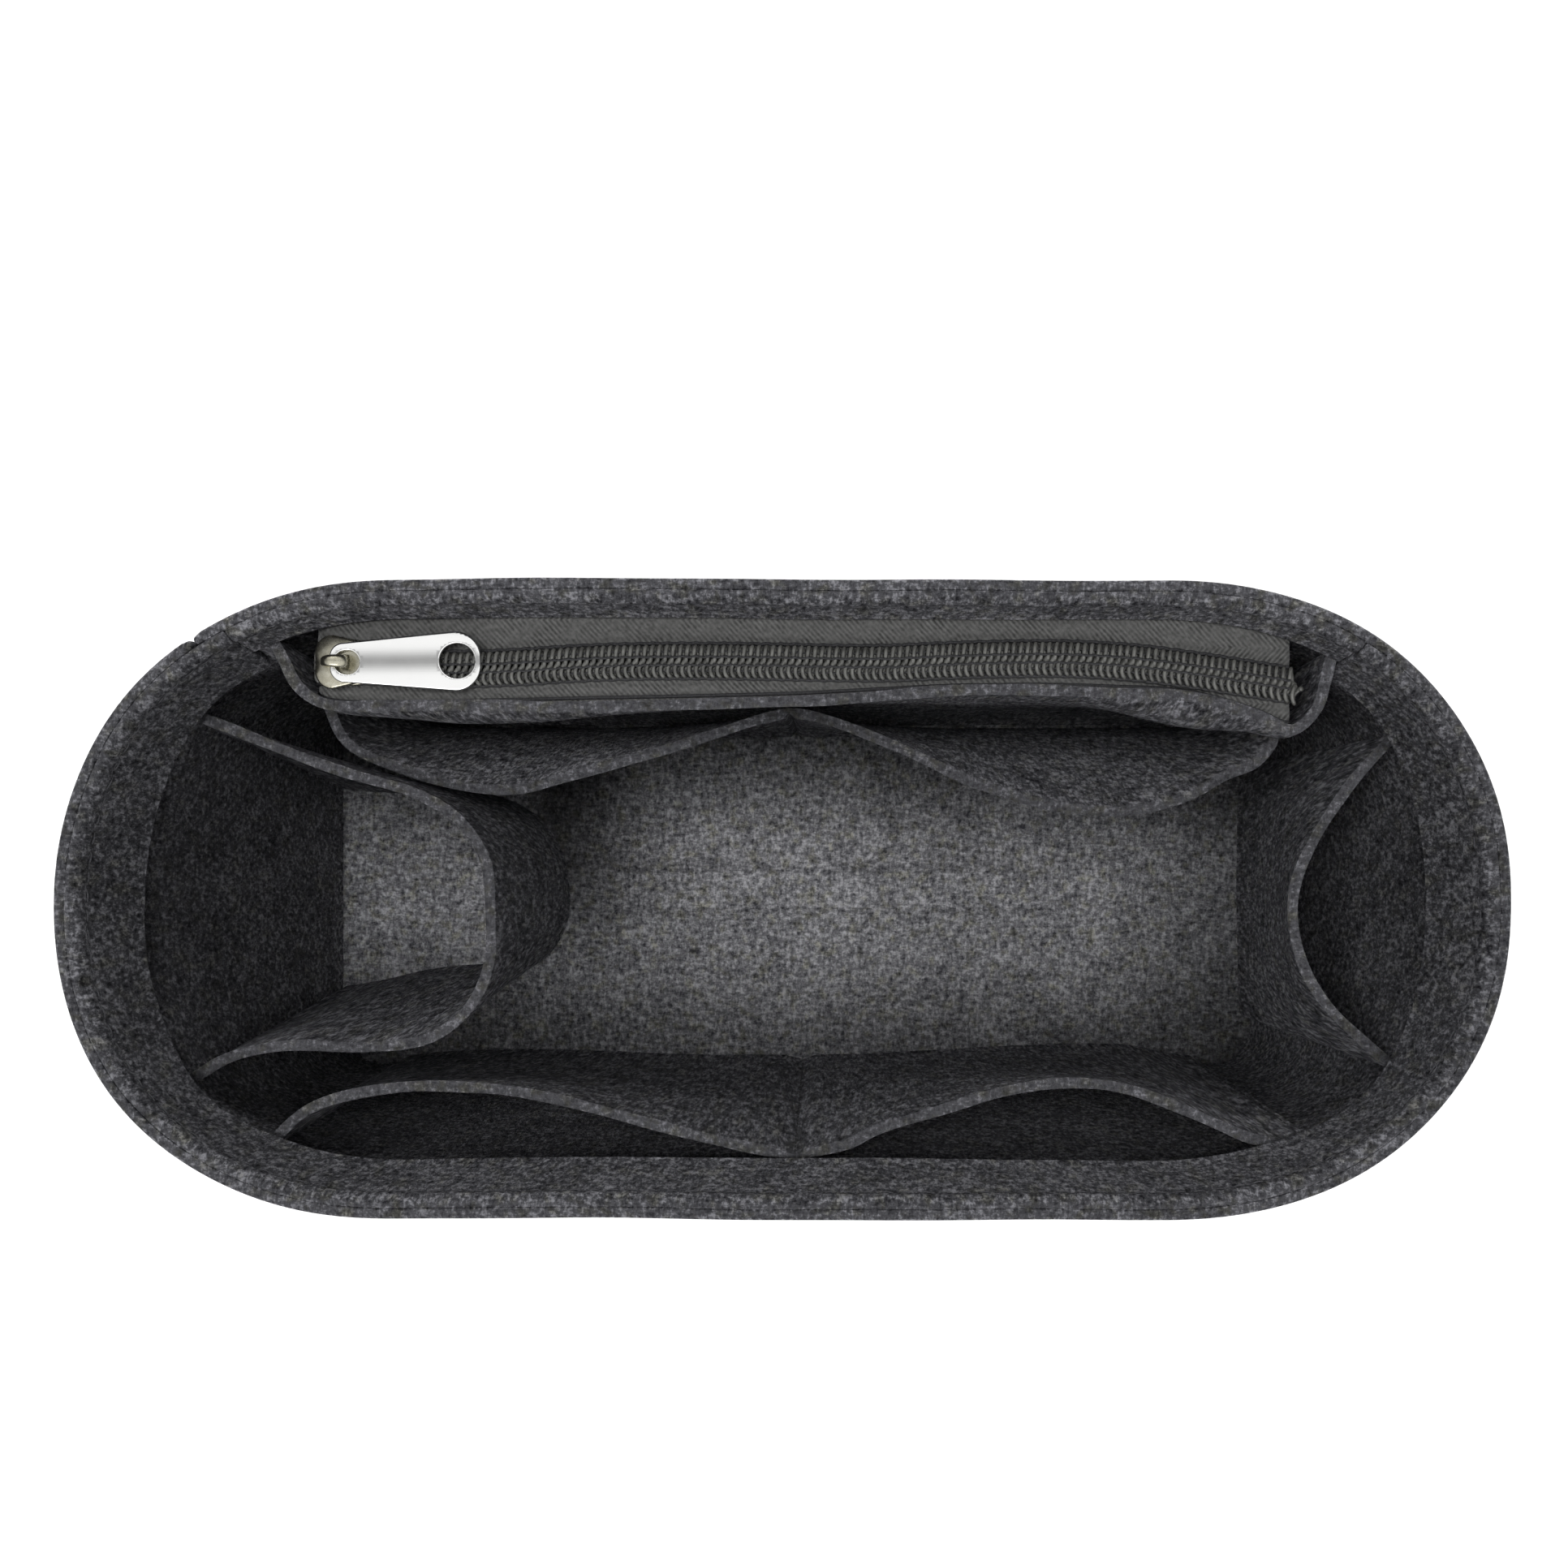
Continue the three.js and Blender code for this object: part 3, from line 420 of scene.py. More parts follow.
def twill_tape(name, ground, light):
    """Woven polyester zip tape: a fine herringbone twill, so slanted ribs turn direction in bands along it,
    with the low gloss of continuous yarn."""
    material, tree, place = new_material(name)
    split = add(tree, "SeparateXYZ", {"Vector": place})
    # Bands 5 mm wide, each rib 1.0 mm from the next
    band = add(tree, "Math", {0: split.outputs["Y"], 1: 5.0 * MM}, operation="PINGPONG")
    slant = add(tree, "Math", {0: band, 1: -0.9, 2: split.outputs["X"]}, operation="MULTIPLY_ADD")
    turn = add(tree, "Math", {0: slant, 1: 2 * math.pi / (1.0 * MM)}, operation="MULTIPLY")
    rib = add(tree, "Math", {0: turn}, operation="SINE")
    tone_changes = add(tree, "TexNoise", {"Vector": place, "Scale": 1 / (0.7 * MM), "Detail": 2.0})
    rough = add(tree, "Math", {0: tone_changes, 1: 2.6, 2: -1.3}, operation="MULTIPLY_ADD")
    # The ribs lie flatter in patches some 4 mm across
    flat = add(tree, "TexNoise", {"Vector": place, "Scale": 1 / (4 * MM), "Detail": 2.0})
    raised = add(tree, "MapRange", {
        "Value": flat, "From Min": 0.35, "From Max": 0.65, "To Min": 0.15, "To Max": 0.8,
    })
    height = add(tree, "Math", {0: rib, 1: raised, 2: rough}, operation="MULTIPLY_ADD")
    tone = add(tree, "MapRange", {"Value": height, "From Min": -1.5, "From Max": 1.5})
    dyed = add(tree, "ValToRGB", {"Fac": tone}, [(0.0, ground), (1.0, light)])
    bump = add(tree, "Bump", {"Height": height, "Strength": 0.6, "Distance": 0.15 * MM})
    shader = add(tree, "BsdfPrincipled", {
        "Base Color": dyed, "Roughness": 0.78, "IOR": POLYMER_IOR,
        "Sheen Weight": 0.15, "Sheen Roughness": 0.4, "Normal": bump,
    })
    add(tree, "OutputMaterial", {"Surface": shader})
    return material


def nylon_wire(name, dark, light):
    """Drawn nylon monofilament, dyed through: smooth, so each turn of the coil carries a small soft glint."""
    material, tree, place = new_material(name)
    dye = add(tree, "TexNoise", {"Vector": place, "Scale": 1 / (1.6 * MM), "Detail": 1.0})
    dyed = add(tree, "ValToRGB", {"Fac": dye}, [(0.3, dark), (0.7, light)])
    shader = add(tree, "BsdfPrincipled", {"Base Color": dyed, "Roughness": 0.26, "IOR": POLYMER_IOR})
    add(tree, "OutputMaterial", {"Surface": shader})
    return material


def spun_thread(name, dark, light):
    """Twisted polyester sewing thread: matt, with fine slanted plies 0.3 mm apart."""
    material, tree, place = new_material(name)
    ply = add(tree, "TexNoise", {"Vector": place, "Scale": 1 / (0.3 * MM), "Detail": 1.0})
    dyed = add(tree, "ValToRGB", {"Fac": ply}, [(0.3, dark), (0.7, light)])
    bump = add(tree, "Bump", {"Height": ply, "Strength": 0.4, "Distance": 0.06 * MM})
    shader = add(tree, "BsdfPrincipled", {
        "Base Color": dyed, "Roughness": 0.7, "IOR": POLYMER_IOR, "Normal": bump,
    })
    add(tree, "OutputMaterial", {"Surface": shader})
    return material


def plated_zinc(name, dark, light, roughness, grain_mm, grain_depth_mm):
    """Die-cast zinc with a plated skin: a metal whose tumbled surface spreads the light softly."""
    material, tree, place = new_material(name)
    cast = add(tree, "TexNoise", {
        "Vector": place, "Scale": 1 / (grain_mm * MM), "Detail": 3.0, "Roughness": 0.6,
    })
    plated = add(tree, "ValToRGB", {"Fac": cast}, [(0.25, dark), (0.75, light)])
    rough = add(tree, "MapRange", {
        "Value": cast, "To Min": roughness * 0.75, "To Max": roughness * 1.25,
    })
    bump = add(tree, "Bump", {"Height": cast, "Strength": 0.3, "Distance": grain_depth_mm * MM})
    shader = add(tree, "BsdfPrincipled", {
        "Base Color": plated, "Metallic": 1.0, "Roughness": rough, "Normal": bump,
    })
    add(tree, "OutputMaterial", {"Surface": shader})
    return material


# Painted light and shade on the wall felt: it is a little paler along the rear and darker round the right end
WALL_PAINTED_LIGHT = [("X", 88, 116, 1.0, 0.84), ("Y", 34, 50, 1.0, 1.14)]
# Painted shade on the pocket felt: it is a little darker towards its foot, near the floor, and inside the
# rear pockets
POCKET_PAINTED_SHADE = [("Z", 2, 75, 0.68, 1.0)]
POCKET_PAINTED_SHADOW = [("Y", 13, 30, 0.0, 0.3), ("Z", 91, 99, 1.0, 0.0)]
# Painted light and shade on the floor: its middle is pale, and along the pockets' feet and at the ends it is
# darker. The painted shadow is the left pocket's, cast on the floor beside it
FLOOR_PAINTED_LIGHT = [
    ("Y", 2, 40, 1.0, 0.5), ("Y", -40, -2, 0.5, 1.0), ("X", 82, 115, 1.0, 0.72), ("X", -25, 40, 1.22, 1.0),
]
FLOOR_PAINTED_SHADOW = [("X", -62, -30, 0.75, 0.0), ("X", -78, -63, 0.0, 1.0), ("Y", -22, 10, 0.0, 1.0)]

# Wall, pockets and base are one charcoal felt: the base's paler shades are painted light on the floor, and
# the darker shades of the upright pieces are painted shade
WALL_FELT = needled_felt("charcoal_needled_felt_wall", ("#19191c", "#434346", "#848489"),
                         0.75, 0.4, 0.3, WALL_PAINTED_LIGHT)
POCKET_FELT = needled_felt("charcoal_needled_felt_pocket", ("#1a1a1d", "#48484b", "#929298"),
                           0.8, 0.16, 0.45, POCKET_PAINTED_SHADE, POCKET_PAINTED_SHADOW)
LIT_FLOOR_FELT = needled_felt("charcoal_needled_felt_base_painted_light", ("#333337", "#67676a", "#9b9b9e"),
                          1.0, 0.3, 0.0, FLOOR_PAINTED_LIGHT, FLOOR_PAINTED_SHADOW)
TAPE_TWILL = twill_tape("woven_polyester_tape", "#141413", "#616160")
COIL_NYLON = nylon_wire("dyed_nylon_monofilament", "#3b3b39", "#5c5c59")
COIL_THREAD = spun_thread("black_polyester_thread", "#141415", "#2e2e30")
SEW_THREAD = spun_thread("charcoal_polyester_thread", "#2a2a2d", "#4c4c50")
SLIDER_ZINC = plated_zinc("tumbled_nickel_plated_zinc", "#a19d8b", "#cac7b8", 0.27, 1.1, 0.05)
PULL_ZINC = plated_zinc("bright_satin_plated_zinc", "#ebebea", "#f0f0ef", 0.11, 6.0, 0.0)


# Outlines
def quarter(length, width, round_x, round_y, roundness=2.0):
    """A quarter of an outline seen from above: straight sides and a corner, rounded off over the given
    lengths along X and Y. A roundness of 2 is an ellipse."""
    turn = np.linspace(0, math.pi / 2, OUTLINE_STEPS + 1)
    x = length / 2 - round_x + round_x * np.sin(turn) ** (2 / roundness)
    y = round_y - width / 2 - round_y * np.clip(np.cos(turn), 0, 1) ** (2 / roundness)
    end = [[length / 2, 0]] if round_y < width / 2 else np.empty((0, 2))
    return np.vstack([[0, -width / 2], np.column_stack([x, y]), end])


def rim_quarter(roundness):
    """A quarter of the rim, whose end is rounded all the way across."""
    return quarter(RIM_LENGTH, RIM_WIDTH, (RIM_LENGTH - RIM_STRAIGHT) / 2, RIM_WIDTH / 2, roundness)


def close_quarters(front, rear):
    """A whole outline from its front right and rear right quarters, mirrored to the left."""
    rear_right = rear[:-1][::-1] * [1, -1]
    right = np.vstack([front, rear_right])
    left = right[1:-1][::-1] * [-1, 1]
    return np.vstack([right, left])


def lengths_along(points):
    """The length of a line of points from its start to each of them."""
    steps = np.linalg.norm(np.diff(points, axis=0), axis=1)
    return np.concatenate([[0], np.cumsum(steps)])


def sampled(points, lengths, places):
    """The points of a line at places along it, where lengths are those of its own points."""
    return np.stack([np.interp(places, lengths, column) for column in points.T], axis=-1)


def unit(directions):
    """Directions at a length of one."""
    return directions / np.linalg.norm(directions, axis=-1, keepdims=True)


class Outline:
    """A closed outline that gives the points at shares of its own length."""

    def __init__(self, points):
        self.points = np.vstack([points, points[:1]])
        self.sums = lengths_along(self.points)
        self.total = self.sums[-1]

    def at(self, share):
        return sampled(self.points, self.sums, np.mod(share, 1) * self.total)


RIM = Outline(close_quarters(rim_quarter(RIM_FRONT_ROUND), rim_quarter(RIM_REAR_ROUND)))
BASE_QUARTER = quarter(BASE_LENGTH, BASE_WIDTH, BASE_CORNER, BASE_CORNER)
BASE = Outline(close_quarters(BASE_QUARTER, BASE_QUARTER))


def wall_point(share, z, inset):
    """Points of the wall at wall shares and heights, set in from its outer face."""
    share, z, inset = np.broadcast_arrays(*[np.asarray(value, float) for value in (share, z, inset)])
    lift = (z / HEIGHT)[..., None]

    def outer(place):
        return BASE.at(place) * (1 - lift) + RIM.at(place) * lift

    along = unit(outer(share + TANGENT_SHARE) - outer(share - TANGENT_SHARE))
    inward = np.stack([-along[..., 1], along[..., 0]], axis=-1)
    return outer(share) + inward * (inset + wall_sag(share, z))[..., None]


def wall_sag(share, z):
    """The soft wall's own unevenness: slow hollows and swells that die out at the sewn foot."""
    turn = 2 * math.pi * share
    waves = sum(size * np.sin(count * turn + start + z / climb) for size, count, start, climb in WALL_WAVES)
    return np.clip(z / WALL_WAVES_RISE, 0, 1) * waves


def smooth_line(points, places):
    """A centripetal curve through plan points: its points and unit directions at places from 0 to 1."""
    points = np.asarray(points, float)
    spans = len(points) - 1
    place = np.clip(np.asarray(places, float), 0, 1) * spans
    index = np.minimum(place.astype(int), spans - 1)
    way = (place - index)[:, None]
    ends = np.vstack([2 * points[0] - points[1], points, 2 * points[-1] - points[-2]])
    before, start, end, after = (ends[index + number] for number in range(4))

    def gap(one, other):
        return np.maximum(np.linalg.norm(other - one, axis=1), 1e-6)[:, None] ** 0.5

    first, middle, last = gap(before, start), gap(start, end), gap(end, after)
    leaving = (start - before) / first - (end - before) / (first + middle) + (end - start) / middle
    leaving = leaving * middle
    arriving = (end - start) / middle - (after - start) / (middle + last) + (after - end) / last
    arriving = arriving * middle
    square = -3 * start + 3 * end - 2 * leaving - arriving
    cube = 2 * start - 2 * end + leaving + arriving
    line = start + leaving * way + square * way ** 2 + cube * way ** 3
    return line, unit(leaving + 2 * square * way + 3 * cube * way ** 2)


def mix(low, high, share):
    """The value this share of the way from low to high."""
    return low + (high - low) * share


def panel_lift(z, top):
    """How far up a panel a height is, from 0 at its foot to 1 at its top."""
    return min(max((z - PANEL_FOOT) / (top - PANEL_FOOT), 0), 1)


def wall_pocket_line(table, reach, top, last_cut):
    """The plan points of a panel that stands off the wall, as a function of the height. A cut end lies
    closer to the wall at its top than a turned one."""
    def line(z):
        lift = panel_lift(z, top)
        flare = lift ** FLARE
        points = []
        for index, (top_share, top_reach, foot_share, foot_reach) in enumerate(table):
            is_cut = index == 0 or (last_cut and index == len(table) - 1)
            seat = mix(LYING_END, CUT_END, lift) if is_cut else LYING_END
            stand = FELT * seat + reach * mix(foot_reach, top_reach, flare)
            points.append(wall_point(mix(foot_share, top_share, lift), z, WALL_SEAT + stand))
        return points
    return line


right_line = wall_pocket_line(RIGHT_LINE, RIGHT_REACH, RIGHT_TOP, True)
front_line = wall_pocket_line(FRONT_LINE, FRONT_REACH, FRONT_TOP, False)
zip_line = wall_pocket_line(ZIP_LINE, ZIP_REACH, ZIP_PANEL_TOP, False)


def left_line(z):
    """The left end pocket's plan points at a height."""
    lift = panel_lift(z, LEFT_TOP)
    inset = WALL_SEAT + FELT * CUT_END
    half_base = np.array([BASE_LENGTH, BASE_WIDTH]) / 2
    half_rim = np.array([RIM_LENGTH, RIM_WIDTH]) / 2
    free = mix(np.array(LEFT_FOOT_LINE) * half_base, np.array(LEFT_TOP_LINE) * half_rim, lift)
    rear = wall_point(mix(LEFT_ENDS["rear_foot"], LEFT_ENDS["rear_top"], lift), z, inset)
    front = wall_point(mix(LEFT_ENDS["front_foot"], LEFT_ENDS["front_top"], lift), z, inset)
    return [rear, *free, front]


def zip_panel_at(x, z):
    """The zip pocket panel's middle line at places along X, and the direction square to it, to the front."""
    points, along = smooth_line(zip_line(z), np.linspace(0, 1, 241))
    keep = along[:, 0] < -0.5
    points, along = points[keep][::-1], along[keep][::-1]
    y = np.interp(x, points[:, 0], points[:, 1])
    turn_x, turn_y = sampled(along, points[:, 0], x).T
    return np.stack([x, y], axis=-1), unit(np.stack([-turn_y, turn_x], axis=-1))


def rear_line(z):
    """The rear pocket panel's plan points at a height, set out from the zip pocket panel."""
    lift = panel_lift(z, REAR_TOP) ** FLARE
    table = np.array(REAR_LINE)
    point, front = zip_panel_at(table[:, 0] * RIM_LENGTH / 2, z)
    is_end = np.zeros(len(table), bool)
    is_end[[0, -1]] = True
    foot = np.where(is_end, 0, REAR_FOOT_REACH)
    cut = np.where(is_end, mix(0, (CUT_END - LYING_END) * FELT, lift), 0)
    stand = WALL_SEAT + cut + REAR_REACH * mix(foot, table[:, 1], lift)
    return point + front * stand[:, None]


# Meshes
def show(name, data):
    """An object of this mesh, curve, lamp or camera, in the scene."""
    holder = bpy.data.objects.new(name, data)
    bpy.context.scene.collection.objects.link(holder)
    return holder


def new_object(name, vertices, faces, material, slot, body, replaced=None, crease=None):
    """A mesh piece from points in millimetres, with its faces turned outward. It may replace a solid."""
    mesh = bpy.data.meshes.new(name)
    mesh.from_pydata((np.asarray(vertices, float) * MM).tolist(), [], faces)
    shape = bmesh.new()
    shape.from_mesh(mesh)
    bmesh.ops.recalc_face_normals(shape, faces=shape.faces)
    shape.to_mesh(mesh)
    shape.free()
    mesh.shade_smooth()
    if crease:
        mesh.set_sharp_from_angle(angle=math.radians(crease))
    mesh.materials.append(material)
    piece = show(name, mesh)
    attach(piece, body)
    if replaced:
        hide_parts(replaced)
    return piece


def quads(*corners):
    """Four-sided faces from the numbers of their corners, four grids of one shape."""
    return np.stack([np.ravel(corner) for corner in corners], axis=1).tolist()


def strip_faces(rows, columns):
    """The faces of a closed strip whose two sides are grids of rows by columns, one after the other."""
    one, two = np.arange(2 * rows * columns).reshape(2, rows, columns)
    return [
        *quads(one[:-1, :-1], one[:-1, 1:], one[1:, 1:], one[1:, :-1]),
        *quads(two[:-1, :-1], two[1:, :-1], two[1:, 1:], two[:-1, 1:]),
        *quads(one[-1, :-1], one[-1, 1:], two[-1, 1:], two[-1, :-1]),
        *quads(one[0, :-1], two[0, :-1], two[0, 1:], one[0, 1:]),
        *quads(one[:-1, 0], one[1:, 0], two[1:, 0], two[:-1, 0]),
        *quads(one[:-1, -1], two[:-1, -1], two[1:, -1], one[1:, -1]),
    ]


def felt_strip(name, outer, inner, material, slot, replaced):
    """A strip of felt from the grids of its two faces, with softly rounded cut edges."""
    vertices = np.vstack([outer.reshape(-1, 3), inner.reshape(-1, 3)])
    faces = strip_faces(*outer.shape[:2])
    piece = new_object(name, vertices, faces, material, slot, FELT_BODY, replaced)
    bevel = piece.modifiers.new("rounded_edges", "BEVEL")
    bevel.width = EDGE_ROUND * MM
    bevel.segments = 2
    bevel.limit_method = "ANGLE"
    bevel.angle_limit = math.radians(EDGE_ANGLE)
    bevel.use_clamp_overlap = True


def edge_waver(along_mm, seed):
    """How a hand-guided cut wanders from a straight line, in millimetres."""
    return sum(size * np.sin(along_mm / length + share * seed) for size, length, share in CUT_WAVES)


def rise_heights(foot, top, step):
    """Heights from foot to top: close together at both cut edges."""
    inside = np.linspace(foot + 1.5, top - 1.5, max(2, int((top - foot) / step)))
    return np.concatenate([[foot, foot + 0.7], inside, [top - 0.7, top]])


def pucker(along_mm, z, row_z):
    """How deep the thread of a stitched row pulls the felt in."""
    pull = 0.5 + 0.5 * np.cos(2 * math.pi * along_mm / STITCH)
    return np.exp(-((z - row_z) / PUCKER_WIDTH) ** 2) * (PUCKER_DEPTH + PUCKER_PULL * pull)


def with_height(plan, z):
    """Points in space from plan points and heights."""
    return np.concatenate([plan, np.broadcast_to(z, plan.shape[:-1])[..., None]], axis=-1)


# Tubes and stitches
def tube(path, radius, reference, sides=6):
    """A round tube along a path. Its reference directions are roughly square to the path."""
    path = np.asarray(path, float)
    along = unit(np.gradient(path, axis=0))
    reference = np.broadcast_to(np.asarray(reference, float), path.shape)
    first = unit(reference - along * np.sum(reference * along, axis=1, keepdims=True))
    second = np.cross(along, first)
    turn = np.linspace(0, 2 * math.pi, sides, endpoint=False)
    radius = np.broadcast_to(np.asarray(radius, float), (len(path),))
    ring = first[:, None] * np.cos(turn)[:, None] + second[:, None] * np.sin(turn)[:, None]
    vertices = (path[:, None] + ring * radius[:, None, None]).reshape(-1, 3)
    number = np.arange(len(vertices)).reshape(-1, sides)
    beside = np.roll(number, -1, axis=1)
    faces = quads(number[:-1], beside[:-1], beside[1:], number[1:])
    return vertices, [*faces, number[0, ::-1].tolist(), number[-1].tolist()]


def gather(parts):
    """Several (vertices, faces) as one."""
    faces, count = [], 0
    for part_vertices, part_faces in parts:
        faces += [[corner + count for corner in face] for face in part_faces]
        count += len(part_vertices)
    return np.vstack([part_vertices for part_vertices, _ in parts]), faces


def stitch_row(path, out, pitch=STITCH):
    """A row of lock stitches on a surface line: each dips into the felt at its two needle holes."""
    sums = lengths_along(path)
    count = max(1, int(round(sums[-1] / pitch)))
    dip = np.array([-STITCH_SINK, 0, STITCH_PROUD, STITCH_PROUD, 0, -STITCH_SINK])[:, None]
    parts = []
    for number in range(count):
        share = (number + np.linspace(NEEDLE_GAP, 1 - NEEDLE_GAP, len(dip))) / count
        line, away = (sampled(points, sums, share * sums[-1]) for points in (path, out))
        parts.append(tube(line + away * dip, THREAD / 2, away))
    return gather(parts)


def thread_piece(name, rows, thread=SEW_THREAD):
    """Rows of stitches as one piece."""
    new_object(name, *gather(rows), thread, "felt_wall", FELT_BODY)


# Outer wall and facings
def wall_faces(shares, heights, outer_inset, inner_inset, top_seed):
    """The two faces of a strip that lies along the wall, its top edge cut a little unevenly."""
    z = heights[:, None] + 0 * shares
    share = shares + 0 * z
    z[-1] += edge_waver((share[-1] - share[-1, 0]) * RIM.total, top_seed) * 0.6
    return [with_height(wall_point(share, z, inset), z) for inset in (outer_inset, inner_inset)]


def shoulder(z, depth, height):
    """How far a strip's upper edge is rounded off at the rim, over the given height."""
    return depth * np.clip((z - HEIGHT + height) / height, 0, 1) ** 2


def make_outer_wall():
    """The wall: one strip bent round, whose ends meet in a sewn butt joint and part in a notch at the rim."""
    columns = int(round(RIM.total / STITCH)) * 2 + 1
    heights = np.array([0, 0.7, 1.8, 2.6, FOOT_ROW, 4.2, 5.2, 8, *range(12, 141, 5), 141.5, 143, 144.2,
                        RIM_ROW, 145.8, 147, 148.4, 149.3, HEIGHT], float)
    grid = heights[:, None]
    parted = WALL_SEAM_NOTCH / 2 * np.clip((grid - RIM_ROW) / 3, 0, 1) / RIM.total
    way = np.linspace(0, 1, columns)
    shares = WALL_SEAM_SHARE + parted + (1 - 2 * parted) * way
    along = way * RIM.total
    dents = pucker(along[None], grid, RIM_ROW) + pucker(along[None], grid, FOOT_ROW)
    groove = WALL_SEAM_GROOVE * np.exp(-(np.minimum(along, along[-1] - along) / WALL_SEAM_GROOVE_WIDTH) ** 2)
    outer_inset = dents + shoulder(grid, *WALL_SHOULDER) + groove
    outer, inner = wall_faces(shares, heights, outer_inset, FELT - groove, 0.4)
    felt_strip("felt_outer_wall", outer, inner, WALL_FELT, "felt_wall", "outer_wall")


def make_facing(name, start, end, depth, replaced, seed, loose):
    """A facing strip inside the rim, sewn through the wall near the top. Its lower edge hangs loose."""
    columns = int(round((end - start) * RIM.total / 1.7)) + 1
    shares = np.linspace(start, end, columns)
    foot = HEIGHT - depth
    heights = np.concatenate([
        [foot, foot + 0.7], np.linspace(foot + 2, 142.5, max(3, int((142.5 - foot) / 3))),
        [143.6, 144.4, RIM_ROW, 145.6, 146.6, 148, 149.3, HEIGHT],
    ])
    along = (shares - shares[0]) * RIM.total
    grid = heights[:, None]
    hang = np.clip((RIM_ROW - 4 - grid) / (RIM_ROW - 4 - foot), 0, 1) ** 1.5
    swell = 0.75 + 0.25 * np.sin(along / 31 + seed)[None]
    # Its cut edge curls off the wall and catches the light
    lip = 0.4 * np.clip((foot + 1.0 - grid) / 1.0, 0, 1)
    free = loose * hang * swell + lip
    dents = pucker(along[None], grid, RIM_ROW)
    inner_inset = 2 * FELT + TOUCH + free - dents - shoulder(grid, *FACING_SHOULDER)
    outer, inner = wall_faces(shares, heights, FELT + TOUCH + free, inner_inset, seed)
    lower = edge_waver(along, seed + 1.7) * 0.8
    for face in (outer, inner):
        face[0, :, 2] += lower
    felt_strip(name, outer, inner, WALL_FELT, "felt_wall", replaced)


def make_base():
    """The base: one felt plate, cut to the wall's foot, with a gentle swell in its middle."""
    shares = np.linspace(0, 1, 240, endpoint=False)
    rings = [1.0, 0.97, 0.9, 0.78, 0.62, 0.44, 0.26, 0.1]
    edge = wall_point(shares, 0 * shares, FELT + 0.02)
    middle = np.stack([np.clip(edge[:, 0], -BASE_MIDDLE, BASE_MIDDLE), 0 * edge[:, 1]], axis=1)
    top, foot = [], []
    for ring in rings:
        plan = mix(middle, edge, ring)
        across, along = np.abs(plan / [BASE_LENGTH / 2, BASE_WIDTH / 2]).T
        swell = BASE_SWELL * np.clip(1 - across ** 2, 0, 1) * np.clip(1 - along ** 2, 0, 1)
        drop = BASE_EDGE_DROP if ring == 1.0 else 0.0
        top.append(with_height(plan, FELT + swell - drop))
        foot.append(with_height(plan, np.full(len(plan), drop * 0.5)))
    number = np.arange(2 * len(rings) * len(shares)).reshape(2, len(rings), -1)
    beside = np.roll(number, -1, axis=2)
    half = len(shares) // 2
    faces = []
    for layer in (0, 1):
        faces += quads(number[layer, :-1], beside[layer, :-1], beside[layer, 1:], number[layer, 1:])
        # The innermost ring is closed by faces across it
        ring, back = number[layer, -1], number[layer, -1, ::-1]
        faces += quads(ring[:half - 1], ring[1:half], back[1:half], back[:half - 1])
    faces += quads(number[0, 0], number[1, 0], beside[1, 0], beside[0, 0])
    piece = new_object("felt_base", np.vstack(top + foot), faces, LIT_FLOOR_FELT, "felt_floor", FELT_BODY,
                       "base_panel")


# Pocket panels
def panel_places(count, seams=()):
    """Places along a panel, closer together at its ends and at its seams."""
    places = list(np.linspace(0, 1, count))
    for seam in (0, 1, *seams):
        places += [seam + way * step for step in (0, 0.0015, 0.003, 0.005, 0.008, 0.012) for way in (-1, 1)]
    return np.unique(np.round([place for place in places if 0 <= place <= 1], 5))


def no_slack(x, z):
    """A panel that stands taut."""
    return 0 * x


def zip_panel_slack(x, z):
    """How far the zip pocket panel sags to the front, in millimetres: its slack cloth rolls forward just
    below the top edge on each side of the middle, where its face can be seen from above."""
    rolls = sum(share * np.exp(-((x - place) / width) ** 2) for place, width, share in ZIP_ROLLS)
    below = max(ZIP_PANEL_TOP - z, 0) / ZIP_ROLL_DEPTH
    # Near the right end the tape holds the edge itself back
    held = ZIP_HELD * np.exp(-((x - ZIP_ROLLS[-1][0]) / ZIP_HELD_WIDTH) ** 2) * math.exp(-4 * below)
    fades = max(0, 1 - below / 4)
    return ZIP_ROLL_SIZE * rolls * fades * (below * math.exp(1 - below)) ** 1.1 - held


